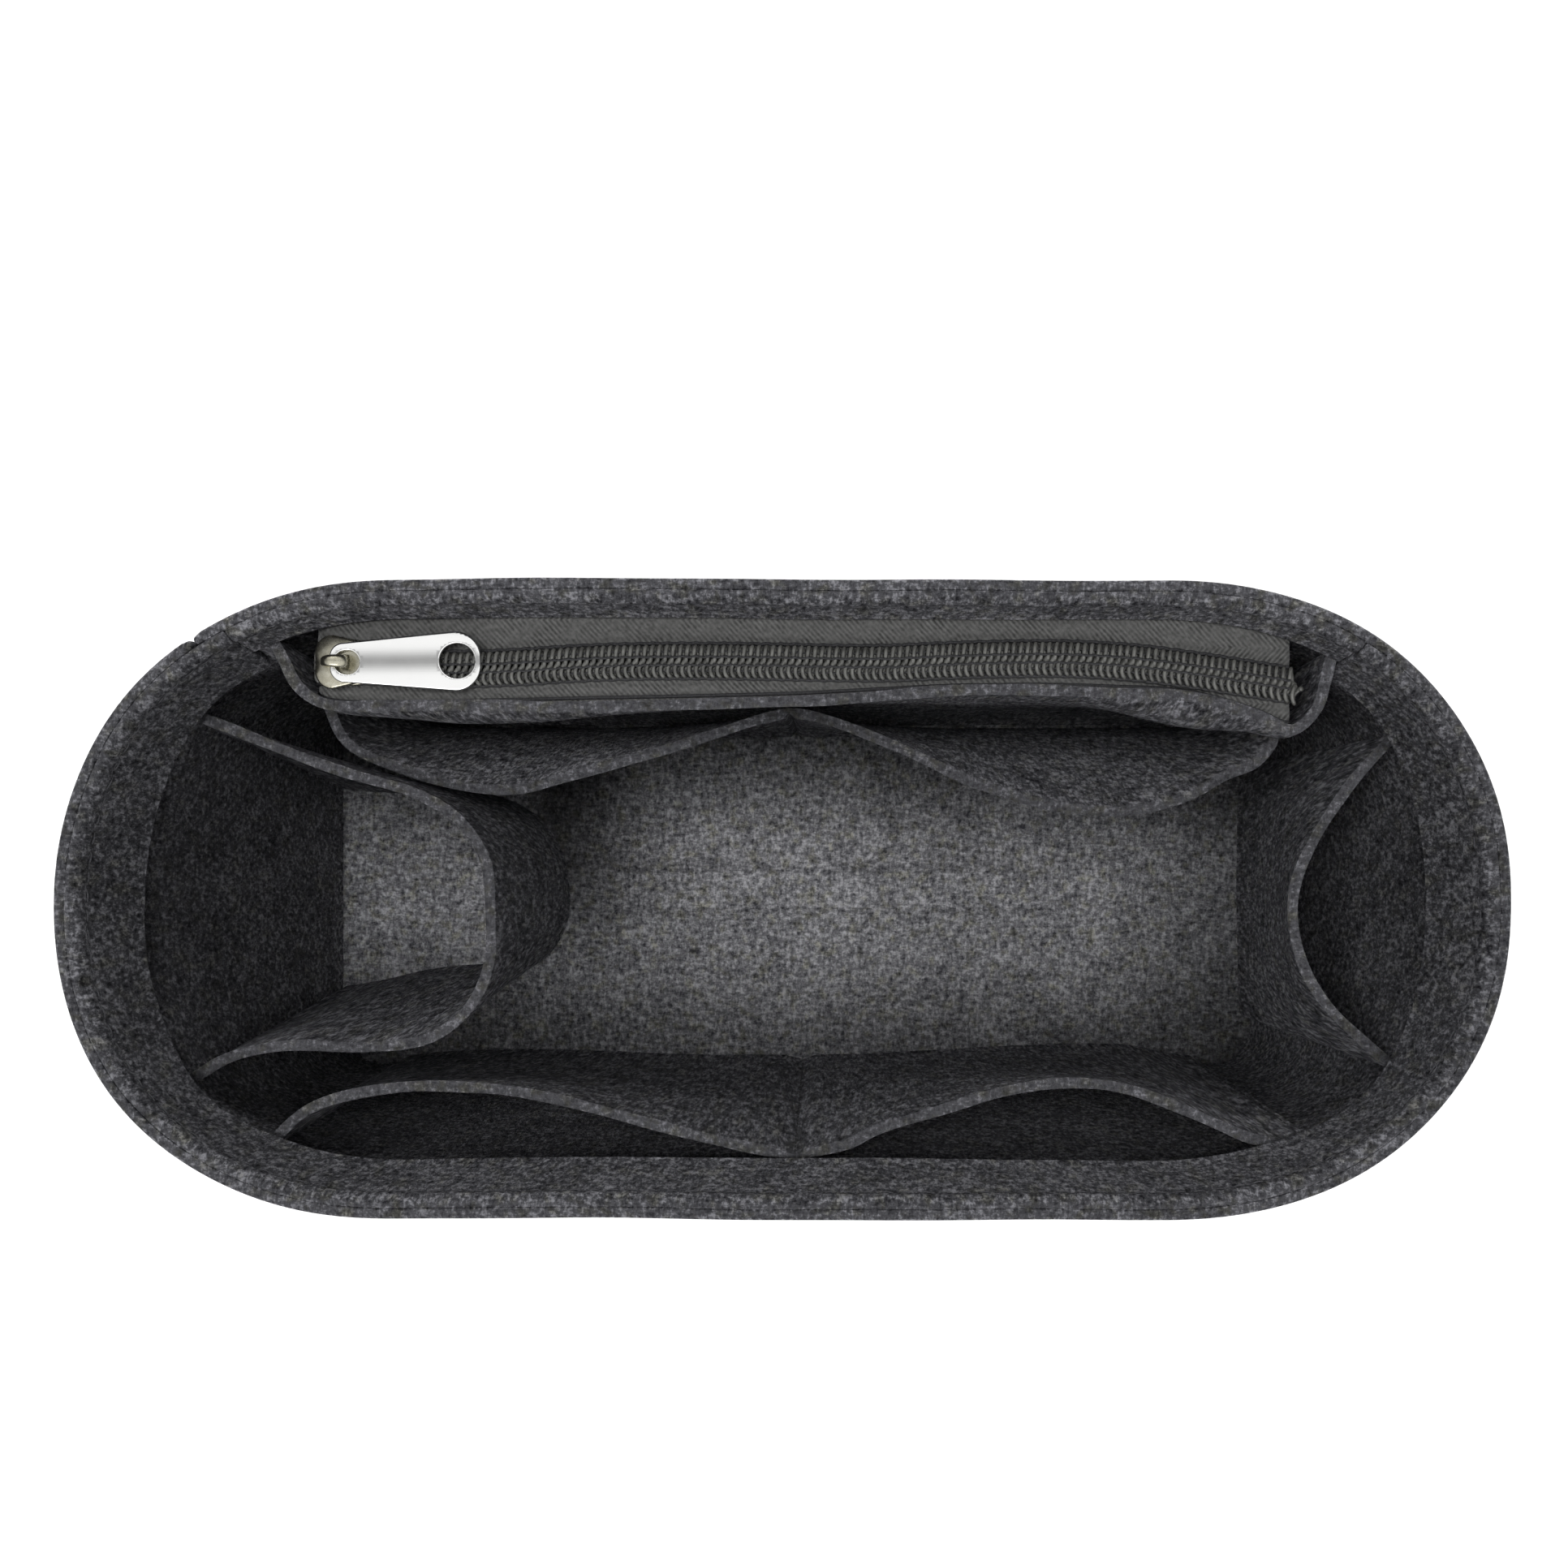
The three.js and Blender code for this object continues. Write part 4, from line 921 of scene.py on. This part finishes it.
def make_panel(name, line, top, count, seed, replaced, seams=(), groove_side=-1, slack=no_slack):
    """A standing panel. Its seams draw a groove into its face on the groove side. Gives its places along the
    line and the grids of its two faces: +1 on its right hand along the line, -1 on its left."""
    places = panel_places(count, seams)
    middle_line, _ = smooth_line(line(top), places)
    along_mm = lengths_along(middle_line)
    near_end = np.clip(np.minimum(along_mm, along_mm[-1] - along_mm) / PANEL_STILL, 0, 1)
    grooves = np.zeros(len(places))
    for seam in seams:
        grooves += PANEL_GROOVE * np.exp(-((places - seam) * along_mm[-1] / PANEL_GROOVE_WIDTH) ** 2)
    faces = {1: [], -1: []}
    for z in rise_heights(PANEL_FOOT, top, 5.5):
        point, along = smooth_line(line(z), places)
        square = np.stack([along[:, 1], -along[:, 0]], axis=1)
        billow = sum(size * np.sin(along_mm / length + share * seed + z / climb)
                     for size, length, share, climb in PANEL_WAVES)
        billow *= near_end * (0.15 + 0.6 * panel_lift(z, top))
        point = point + square * (billow - slack(point[:, 0], z))[:, None]
        thick = FELT / 2 * (1 + 0.06 * np.sin(along_mm / 3.1 + seed + z / 5))
        wander = edge_waver(along_mm, seed) * near_end if z > top - 1 else 0.0
        for side in faces:
            half = thick - grooves if side == groove_side else thick
            faces[side].append(with_height(point + square * (side * half)[:, None], z + wander))
    right, left = (np.array(faces[side]) for side in (1, -1))
    felt_strip(name, right, left, POCKET_FELT, "felt_pocket", replaced)
    return places, {1: right, -1: left}


def upright_row(places, faces, side, place, low, high):
    """A stitched row that climbs one face of a panel at a place along it."""
    column = int(np.argmin(np.abs(places - place)))
    line = faces[side][:, column]
    out = unit(line - faces[-side][:, column])
    keep = (line[:, 2] >= low) & (line[:, 2] <= high)
    return stitch_row(line[keep], out[keep])


def wall_line(shares, z, inset, outward=1):
    """Points on a face of the wall or its facings, and the directions out of that face."""
    face = wall_point(shares, z, inset)
    out = (face - wall_point(shares, z, inset + 1)) * outward
    return with_height(face, z), with_height(out, 0 * z)


def wall_row(start, end, low, high, count=40, inset=0.0, outward=1):
    """A stitched row on a face of the wall or a facing, from one wall share and height to another."""
    shares, z = np.linspace(start, end, count), np.linspace(low, high, count)
    return stitch_row(*wall_line(shares, z, inset, outward))


def ring_row(z, inset, outward, start, end):
    """A stitched row that runs along the wall or a facing at one height."""
    return wall_row(start, end, z, z, int((end - start) * RIM.total / 1.2), inset, outward)


def seam_zigzag(inset, outward):
    """A zigzag across the wall's butt joint, which draws its two ends together."""
    z = np.arange(5, HEIGHT - 6, 1.3)
    shares = WALL_SEAM_SHARE + 1.5 * (-1.0) ** np.arange(len(z)) / RIM.total
    points, out = wall_line(shares, z, inset, outward)
    pairs = [slice(start, start + 2) for start in range(len(z) - 1)]
    return gather([stitch_row(points[pair], out[pair], pitch=3) for pair in pairs])


# Zip
def chain_y(x):
    """The chain's middle line: a smooth line through its measured bow."""
    table = np.array(CHAIN_BOW, float)
    points, _ = smooth_line(table, np.linspace(0, 1, 400))
    return np.interp(x, points[:, 0], points[:, 1])


def end_drop(x):
    """How far the zip's left end is tucked down into the corner."""
    return TUCK_DEPTH * np.clip((ZIP_LEFT + TUCK_LENGTH - x) / TUCK_LENGTH, 0, 1) ** 2


def rear_wall_y(x, z):
    """Where the rear wall's inner face stands at places along X."""
    shares = np.linspace(0.25, 0.75, 800)
    plan = wall_point(shares, np.full(800, float(z)), FELT + TOUCH)
    return np.interp(x, plan[::-1, 0], plan[::-1, 1])


def make_tape(name, side, replaced):
    """Half the zip tape: a thin woven strip from under the coil to the felt that it is sewn to."""
    right = ZIP_RIGHT - 1.2
    x = np.linspace(ZIP_LEFT, right, 180)
    inner = chain_y(x) + side * TAPE_EDGE
    if side > 0:
        far = rear_wall_y(x, TAPE_TOP) - 0.1
    else:
        plan, front = zip_panel_at(x, TAPE_TOP)
        far = (plan + front * (zip_panel_slack(x, TAPE_TOP) - 0.4)[:, None])[:, 1]
    grids = []
    for offset in (0.0, -TAPE):
        rows = []
        for share in (0, 0.06, 0.14, 0.22, 0.3, 0.38, 0.46, 0.52, 0.58, 0.64, 0.7, 0.78, 0.87, 0.94, 1.0):
            y = mix(inner, far, share)
            # The tape is drawn down beside the coil, then rises a little towards the felt
            from_chain = np.abs(y - chain_y(x))
            drawn = -0.35 * np.exp(-((from_chain - CHAIN_HALF - 0.35) / 0.5) ** 2)
            if side > 0:
                # The rear tape keeps a soft crease along its middle
                rise = 0.5 * share ** 2 + 0.3 * np.exp(-((from_chain - 5.3) / 0.9) ** 2)
            else:
                # The front tape dips where it is sewn to the felt
                dip = 0.6 * np.exp(-((np.abs(y - far) - 0.75) / 0.55) ** 2)
                rise = 0.25 * math.sin(math.pi * share) - dip
            wave = 0.16 * np.sin(x / 9.5 + 2 * share) + 0.08 * np.sin(x / 3.3 + side)
            z = TAPE_TOP + offset + drawn + rise + wave * share - end_drop(x)
            rows.append(np.stack([x, y, z], axis=1))
        grids.append(np.array(rows))
    vertices = np.vstack([grid.reshape(-1, 3) for grid in grids])
    faces = strip_faces(*grids[0].shape[:2])
    piece = new_object(name, vertices, faces, TAPE_TWILL, "zip_tape", FELT_BODY, replaced)
    if side < 0:
        # The thread that holds the front tape to the felt lies in the crease between them; its dark line also
        # paints the crease's shade
        seam = np.stack([x, far + 0.95, TAPE_TOP - 0.2 + 0.9 * wave - end_drop(x)], axis=1)
        new_object("tape_seam_thread_and_crease_shade", *tube(seam, 0.36, (0, 0, 1)), COIL_THREAD, "zip_tape", FELT_BODY)


def make_coil(name, side, replaced):
    """Half the chain: nylon wire wound in a flat coil, whose heads reach in between those of the other."""
    turns = int(round((ZIP_RIGHT - ZIP_LEFT) / COIL_PITCH))
    per_turn = 16
    turn = np.arange(turns * per_turn + 1) / per_turn
    angle = 2 * math.pi * turn
    x = ZIP_LEFT + (turn + (0.0 if side > 0 else 0.5)) * (ZIP_RIGHT - ZIP_LEFT - 0.5 * COIL_PITCH) / turns
    across = np.cos(angle)
    across = np.sign(across) * np.abs(across) ** 0.8
    offset = LOOP_MIDDLE - LOOP_REACH * across
    rise = np.sin(angle)
    head = np.clip(across, 0, 1) ** 4
    z = COIL_MIDDLE + LOOP_RISE * np.sign(rise) * np.abs(rise) ** 0.75 - 0.06 * across + 0.2 * head
    # An unstopped chain spreads a little near its open end
    spread = SPREAD * np.clip((x - SPREAD_FROM) / SPREAD_LENGTH, 0, 1) ** 2
    bow = -LEG_BOW * (1 - ((offset - 1.7) / 1.1) ** 2) if side < 0 else 0.0
    middle, drop = chain_y(x), end_drop(x)
    path = np.stack([x + bow, middle + side * (offset + spread), z - drop], axis=1)
    centre = np.stack([x + bow, middle + side * (LOOP_MIDDLE + spread), COIL_MIDDLE - drop], axis=1)
    wire = tube(path, COIL_WIRE * (0.94 + 0.3 * head), path - centre, sides=8)
    new_object(name, *wire, COIL_NYLON, "nylon_coil", FELT_BODY, replaced)


def make_coil_thread(name, side):
    """The threads that sew a half coil to the tape: each lies over the turns and dips between them. The two
    rows at the chain's edge are dark thread that also paints the shade in the gap between coil and tape.
    """
    rows = []
    edge = CHAIN_HALF + 0.15 * side
    x = np.arange(ZIP_LEFT + 0.4, ZIP_RIGHT - 1.5, COIL_PITCH / 6)
    phase = 2 * math.pi * (x - ZIP_LEFT) / COIL_PITCH
    for across, top, radius in ((0.74, 0.87, 0.24), (1.75, 0.52, 0.17), (edge, -0.2, 0.3), (edge, -0.8, 0.3)):
        z = COIL_MIDDLE + top + 0.12 * np.sin(phase) - end_drop(x)
        path = np.stack([x, chain_y(x) + side * (across + 0.07 * np.sin(phase / 2)), z], axis=1)
        rows.append(tube(path, radius, (0, 0, 1)))
    new_object(name, *gather(rows), COIL_THREAD, "zip_tape", FELT_BODY)


def flat_shape(name, loops, thickness, edge, cuts_y=(), cuts_x=()):
    """A flat plate from plan loops in millimetres, the first outside and the others holes, with rounded
    edges. It is cut along lines of equal Y and of equal X, so that it can be shaped afterwards."""
    curve = bpy.data.curves.new(name, "CURVE")
    curve.dimensions = "2D"
    curve.fill_mode = "BOTH"
    curve.extrude = (thickness / 2 - edge) * MM
    curve.bevel_depth = edge * MM
    curve.bevel_resolution = 3
    for loop in loops:
        spline = curve.splines.new("POLY")
        spline.points.add(len(loop) - 1)
        for point, (x, y) in zip(spline.points, loop):
            point.co = (x * MM, y * MM, 0, 1)
        spline.use_cyclic_u = True
    curve.offset = -edge * MM
    flat = show(name + "_line", curve)
    bpy.context.view_layer.update()
    mesh = bpy.data.meshes.new_from_object(flat.evaluated_get(bpy.context.evaluated_depsgraph_get()))
    bpy.data.objects.remove(flat)
    bpy.data.curves.remove(curve)
    shape = bmesh.new()
    shape.from_mesh(mesh)
    bmesh.ops.remove_doubles(shape, verts=shape.verts, dist=1e-6)
    cuts = [((0, y, 0), (0, 1, 0)) for y in cuts_y] + [((x, 0, 0), (1, 0, 0)) for x in cuts_x]
    for place, normal in cuts:
        everything = [*shape.verts, *shape.edges, *shape.faces]
        bmesh.ops.bisect_plane(shape, geom=everything, plane_co=Vector(place) * MM, plane_no=normal)
    bmesh.ops.triangulate(shape, faces=[face for face in shape.faces if len(face.verts) > 4])
    shape.verts.index_update()
    vertices = np.array([corner.co for corner in shape.verts]) / MM
    faces = [tuple(corner.index for corner in face.verts) for face in shape.faces]
    shape.free()
    bpy.data.meshes.remove(mesh)
    return vertices, faces


def tapered_loop(left, right, left_width, left_round, right_width, right_round, steps=10):
    """A tapered outline along X, its ends rounded off with quarter arcs."""
    corners = [
        (right, right_width / 2, right_round, 0), (left, left_width / 2, left_round, 90),
        (left, -left_width / 2, left_round, 180), (right, -right_width / 2, right_round, 270),
    ]
    loop = []
    for x, y, radius, start in corners:
        centre_x = x - math.copysign(radius, x - (left + right) / 2)
        centre_y = y - math.copysign(radius, y)
        for angle in np.radians(np.linspace(start, start + 90, steps)):
            loop.append((centre_x + radius * math.cos(angle), centre_y + radius * math.sin(angle)))
    return loop


def ring_loop(x, diameter, steps=40):
    """A round hole or disc on the middle line."""
    angle = np.linspace(0, 2 * math.pi, steps, endpoint=False)
    return [(x + diameter / 2 * math.cos(way), diameter / 2 * math.sin(way)) for way in angle]


def crowned(vertices, radius):
    """Bends a plate's points over a round of this radius that runs along X."""
    bent = vertices.copy()
    bent[:, 2] -= vertices[:, 1] ** 2 / (2 * radius)
    return bent


def make_pull():
    """The pull: a crowned tapered plate with a hole for the arch and a larger one at its tip."""
    left = -PULL_BAR / 2
    tip = left + PULL_LENGTH
    loops = [
        tapered_loop(left, tip, PULL_HINGE_WIDTH, 2.4, PULL_TIP_WIDTH, 4.5, 14),
        ring_loop(PULL_BAR / 2 + HINGE_HOLE / 2, HINGE_HOLE), ring_loop(tip - TIP_MARGIN, TIP_HOLE),
    ]
    cuts_y, cuts_x = np.linspace(-5, 5, 27), np.arange(left + 0.35, tip, 0.7)
    vertices, faces = flat_shape("pull", loops, PULL_THICK, 0.3, cuts_y, cuts_x)
    x, y, z = crowned(vertices, PULL_CROWN).T
    lean = math.asin(PULL_DROP / (PULL_LENGTH - PULL_BAR))
    x, z = x * math.cos(lean) + z * math.sin(lean), -x * math.sin(lean) + z * math.cos(lean)
    # It hangs a little to the front on its arch, and its tip points back to the chain
    yaw = math.radians(PULL_YAW)
    x, y = x * math.cos(yaw) - y * math.sin(yaw), x * math.sin(yaw) + y * math.cos(yaw)
    turned = np.stack([x + HINGE_X, y + PULL_Y, z + HINGE_Z], axis=1)
    new_object("zip_pull_tab", turned, faces, PULL_ZINC, "pull_metal", PULL_BODY, "zip_pull", 38)


def make_slider():
    """The slider: two shield-shaped plates on a post, flanges turned round the chain, and an arch for the
    pull."""
    loops = [tapered_loop(SLIDER_LEFT, SLIDER_RIGHT, *TOP_PLATE)]
    cuts_y, cuts_x = np.linspace(-4.5, 4.5, 23), np.arange(SLIDER_LEFT + 0.3, SLIDER_RIGHT, 0.4)
    vertices, faces = flat_shape("top_plate", loops, TOP_PLATE_THICK, 0.4, cuts_y, cuts_x)
    x, y = vertices[:, 0], vertices[:, 1]
    # Its nose falls away in two round lobes, and under the arch it is a shallow dish
    nose = np.clip((SLIDER_LEFT + NOSE_LENGTH - x) / NOSE_LENGTH, 0, 1)
    dish = np.exp(-((x - HINGE_X - DISH_X) / DISH_LENGTH) ** 2 - (y / DISH_WIDTH) ** 2)
    fall = (1 - np.sqrt(1 - 0.98 * nose ** 2)) * (0.85 + 0.5 * np.exp(-(y / 1.4) ** 2))
    vertices[:, 2] -= fall + DISH_DEPTH * dish
    parts = [(crowned(vertices, TOP_PLATE_CROWN) + [0, SLIDER_Y, TOP_PLATE_Z], faces)]
    loops = [tapered_loop(SLIDER_LEFT, SLIDER_RIGHT, *BOTTOM_PLATE)]
    vertices, faces = flat_shape("bottom_plate", loops, BOTTOM_PLATE_THICK, 0.35)
    parts.append((vertices + [0, SLIDER_Y, BOTTOM_PLATE_Z], faces))
    for side in (-1, 1):
        # Flange: a rounded lip that hangs from the top plate's edge and widens where the chain parts
        x = np.linspace(SLIDER_LEFT + 1.5, SLIDER_RIGHT - 1.0, len(FLANGE_RADII))
        y = SLIDER_Y + side * (FLANGE_Y + FLANGE_SPLAY * (SLIDER_RIGHT - x))
        lip = np.stack([x, y, np.full(len(x), FLANGE_Z)], axis=1)
        parts.append(tube(lip, FLANGE_RADII, (0, 0, 1), sides=10))
    post = np.array([[SLIDER_LEFT + 1.6, SLIDER_Y, z] for z in np.linspace(POST_LOW, POST_HIGH, 5)])
    parts.append(tube(post, POST_RADIUS, (1, 0, 0), sides=12))
    # Arch: a strap that springs from the plate, rises round the pull's bar and comes down again
    angle = np.radians(np.linspace(0, 180, ARCH_STEPS))
    reach = np.where(np.cos(angle) > 0, ARCH_REACH_RIGHT, ARCH_REACH_LEFT)
    path = np.stack([
        HINGE_X + reach * np.cos(angle), np.full(ARCH_STEPS, ARCH_Y),
        ARCH_FOOT + ARCH_RISE * np.sin(angle) ** 0.75,
    ], axis=1)
    vertices, faces = tube(path, ARCH_RADIUS, (0, 1, 0), sides=ARCH_SIDES)
    widen = np.repeat(np.linspace(ARCH_WIDE_RIGHT, ARCH_WIDE_LEFT, ARCH_STEPS), ARCH_SIDES)
    vertices[:, 1] = ARCH_Y + (vertices[:, 1] - ARCH_Y) * widen
    parts.append((vertices, faces))
    new_object("zip_slider_shell", *gather(parts), SLIDER_ZINC, "slider_metal", SLIDER_BODY, "zip_slider", 45)


# Build
make_outer_wall()
make_facing("felt_rim_facing", FACING_LEFT_SHARE, FACING_RIGHT_SHARE + 1, FACING_DEPTH,
            "rim_facing", 0.9, 1.0)
make_facing("felt_zip_facing", FACING_RIGHT_SHARE + FACING_GAP_SHARE, FACING_LEFT_SHARE - FACING_GAP_SHARE,
            ZIP_FACING_DEPTH, "zip_facing", 2.6, 0.05)
make_base()

make_panel("felt_left_pocket", left_line, LEFT_TOP, 110, 0.7, "left_end_pocket")
make_panel("felt_right_pocket", right_line, RIGHT_TOP, 64, 1.9, "right_end_pocket")
front_pocket = make_panel("felt_front_pockets", front_line, FRONT_TOP, 150, 3.1, "front_pocket_panel",
                          (FRONT_SEAM_PLACE,), -1)
make_panel("felt_zip_pocket", zip_line, ZIP_PANEL_TOP, 150, 4.4, "zip_pocket_panel", slack=zip_panel_slack)
rear_pocket = make_panel("felt_rear_pockets", rear_line, REAR_TOP, 130, 5.2, "rear_pocket_panel",
                         (REAR_SEAM_PLACE,), 1)

for place, side in HALVES:
    make_tape("woven_tape_" + place, side, "zip_tape_" + place)
for place, side in HALVES:
    make_coil("wound_coil_" + place, side, "zip_coil_" + place)
for place, side in HALVES:
    make_coil_thread("coil_sewing_and_gap_shade_" + place, side)
make_slider()
make_pull()

WALL_ENDS = (WALL_SEAM_SHARE + ROW_END, WALL_SEAM_SHARE + 1 - ROW_END)
thread_piece("rim_stitches", [
    ring_row(RIM_ROW, OUTSIDE_ROW, 1, *WALL_ENDS),
    ring_row(RIM_ROW, INSIDE_ROW, -1, FACING_LEFT_SHARE + ROW_END, FACING_RIGHT_SHARE + 1 - ROW_END),
    ring_row(RIM_ROW, INSIDE_ROW, -1, FACING_RIGHT_SHARE + ZIP_ROW_END, FACING_LEFT_SHARE - ZIP_ROW_END),
])
thread_piece("wall_seam_stitches", [seam_zigzag(0.1, 1), seam_zigzag(FELT - 0.1, -1)])
thread_piece("foot_stitches", [ring_row(FOOT_ROW, OUTSIDE_ROW, 1, *WALL_ENDS)])
thread_piece("pocket_end_stitches", [
    wall_row(foot, top, END_ROW_FOOT, edge - 3) for foot, top, edge in END_ROWS
])
thread_piece("pocket_seam_stitches", [
    upright_row(*front_pocket, -1, FRONT_SEAM_PLACE, 6, FRONT_TOP - 1.2),
    upright_row(*rear_pocket, 1, REAR_SEAM_PLACE, 6, REAR_TOP - 1.2),
    # The front panel's right end is sewn down as well
    upright_row(*front_pocket, -1, 0.992, 8, FRONT_TOP - 2),
], COIL_THREAD)


# Floor, light and camera
def make_floor():
    """A plain white floor that keeps the object's shadow. Away from the object it is seen as paper white,
    and it looks the same in metal and through gaps."""
    material, tree, place = new_material("white_paper_floor")
    path = add(tree, "LightPath")
    seen = path.outputs["Is Camera Ray"]
    for kind in ("Is Glossy Ray", "Is Transmission Ray"):
        seen = add(tree, "Math", {0: seen, 1: path.outputs[kind]}, operation="MAXIMUM")
    away = add(tree, "VectorMath", {0: place}, operation="LENGTH").outputs["Value"]
    far = add(tree, "MapRange", {"Value": away, "From Min": FLOOR_NEAR, "From Max": FLOOR_FAR},
              interpolation_type="SMOOTHSTEP")
    white = add(tree, "Math", {0: far, 1: seen}, operation="MULTIPLY")
    lift = add(tree, "Math", {0: seen, 1: FLOOR_LIFT}, operation="MULTIPLY")
    matt = add(tree, "BsdfDiffuse", {"Color": linear("#e6e6e6")})
    glow = add(tree, "Emission", {"Color": linear("#ffffff"), "Strength": lift})
    near = add(tree, "AddShader", {0: matt, 1: glow})
    paper = add(tree, "Emission", {"Color": linear("#ffffff"), "Strength": 1.0})
    both = add(tree, "MixShader", {0: white, 1: near, 2: paper})
    add(tree, "OutputMaterial", {"Surface": both})
    mesh = bpy.data.meshes.new("floor")
    half = 3.0
    corners = [(-half, -half, 0), (half, -half, 0), (half, half, 0), (-half, half, 0)]
    mesh.from_pydata(corners, [], [(0, 1, 2, 3)])
    mesh.materials.append(material)
    floor = show("floor", mesh)
    # A hair below the felt's foot, so that the two faces don't fight
    floor.location = (0, 0, -0.0004)


def make_world():
    """A pale room, brightest along its walls, so that light comes in low over the rim but not far down.
    Metal sees two long bright sides with a greyer gap between them."""
    world = bpy.data.worlds.new("studio_room")
    bpy.context.scene.world = world
    world.use_nodes = True
    tree = world.node_tree
    tree.nodes.clear()
    way = add(tree, "TexCoord").outputs["Generated"]
    split = add(tree, "SeparateXYZ", {"Vector": way})
    height = add(tree, "Math", {0: split.outputs["Z"]}, operation="ABSOLUTE")
    walls = add(tree, "MapRange", {
        "Value": height, "From Min": 0.12, "From Max": 0.5, "To Min": ROOM_LOW, "To Max": ROOM_HIGH,
    })
    aside = add(tree, "Math", {0: split.outputs["Y"], 1: 0.13}, operation="SUBTRACT")
    apart = add(tree, "Math", {0: aside}, operation="ABSOLUTE")
    gap = add(tree, "MapRange", {
        "Value": apart, "From Min": 0.02, "From Max": 0.12, "To Min": 0.35, "To Max": 1.1,
    })
    # It grows dim towards the left end, which the slider's nose mirrors
    end = add(tree, "MapRange", {
        "Value": split.outputs["X"], "From Min": -0.8, "From Max": -0.35, "To Min": 0.5,
    })
    glossy = add(tree, "Math", {0: gap, 1: end}, operation="MULTIPLY")
    room, mirrored, shown = (
        add(tree, "Background", {"Color": linear("#ffffff"), "Strength": strength})
        for strength in (walls, glossy, 1.0)
    )
    seen = add(tree, "LightPath")
    lit = add(tree, "MixShader", {0: seen.outputs["Is Glossy Ray"], 1: room, 2: mirrored})
    whole = add(tree, "MixShader", {0: seen.outputs["Is Camera Ray"], 1: lit, 2: shown})
    add(tree, "OutputWorld", {"Surface": whole})


def make_lamps():
    """Rectangular softboxes, each turned to the object."""
    for name, (place, size, watts, mirrored) in LAMPS.items():
        lamp = bpy.data.lights.new(name, "AREA")
        lamp.shape = "RECTANGLE"
        lamp.size, lamp.size_y = size
        lamp.energy = watts
        holder = show(name, lamp)
        holder.location = place
        holder.rotation_euler = (Vector(place) - Vector(LAMP_TARGET)).to_track_quat("Z", "Y").to_euler()
        holder.visible_glossy = mirrored


def make_camera():
    """The photograph's view: straight down from 435 mm, a little right of the middle."""
    camera = bpy.data.cameras.new("camera")
    camera.sensor_width = SENSOR
    camera.lens = SENSOR * FOCAL / PICTURE
    camera.shift_x = (PICTURE / 2 - UNDER_CAMERA[0]) / PICTURE
    camera.shift_y = (UNDER_CAMERA[1] - PICTURE / 2) / PICTURE
    camera.clip_start = 0.01
    holder = show("camera", camera)
    holder.location = [value * MM for value in CAMERA_PLACE]
    bpy.context.scene.camera = holder


make_floor()
make_world()
make_lamps()
make_camera()
bpy.context.scene.view_settings.view_transform = "Standard"
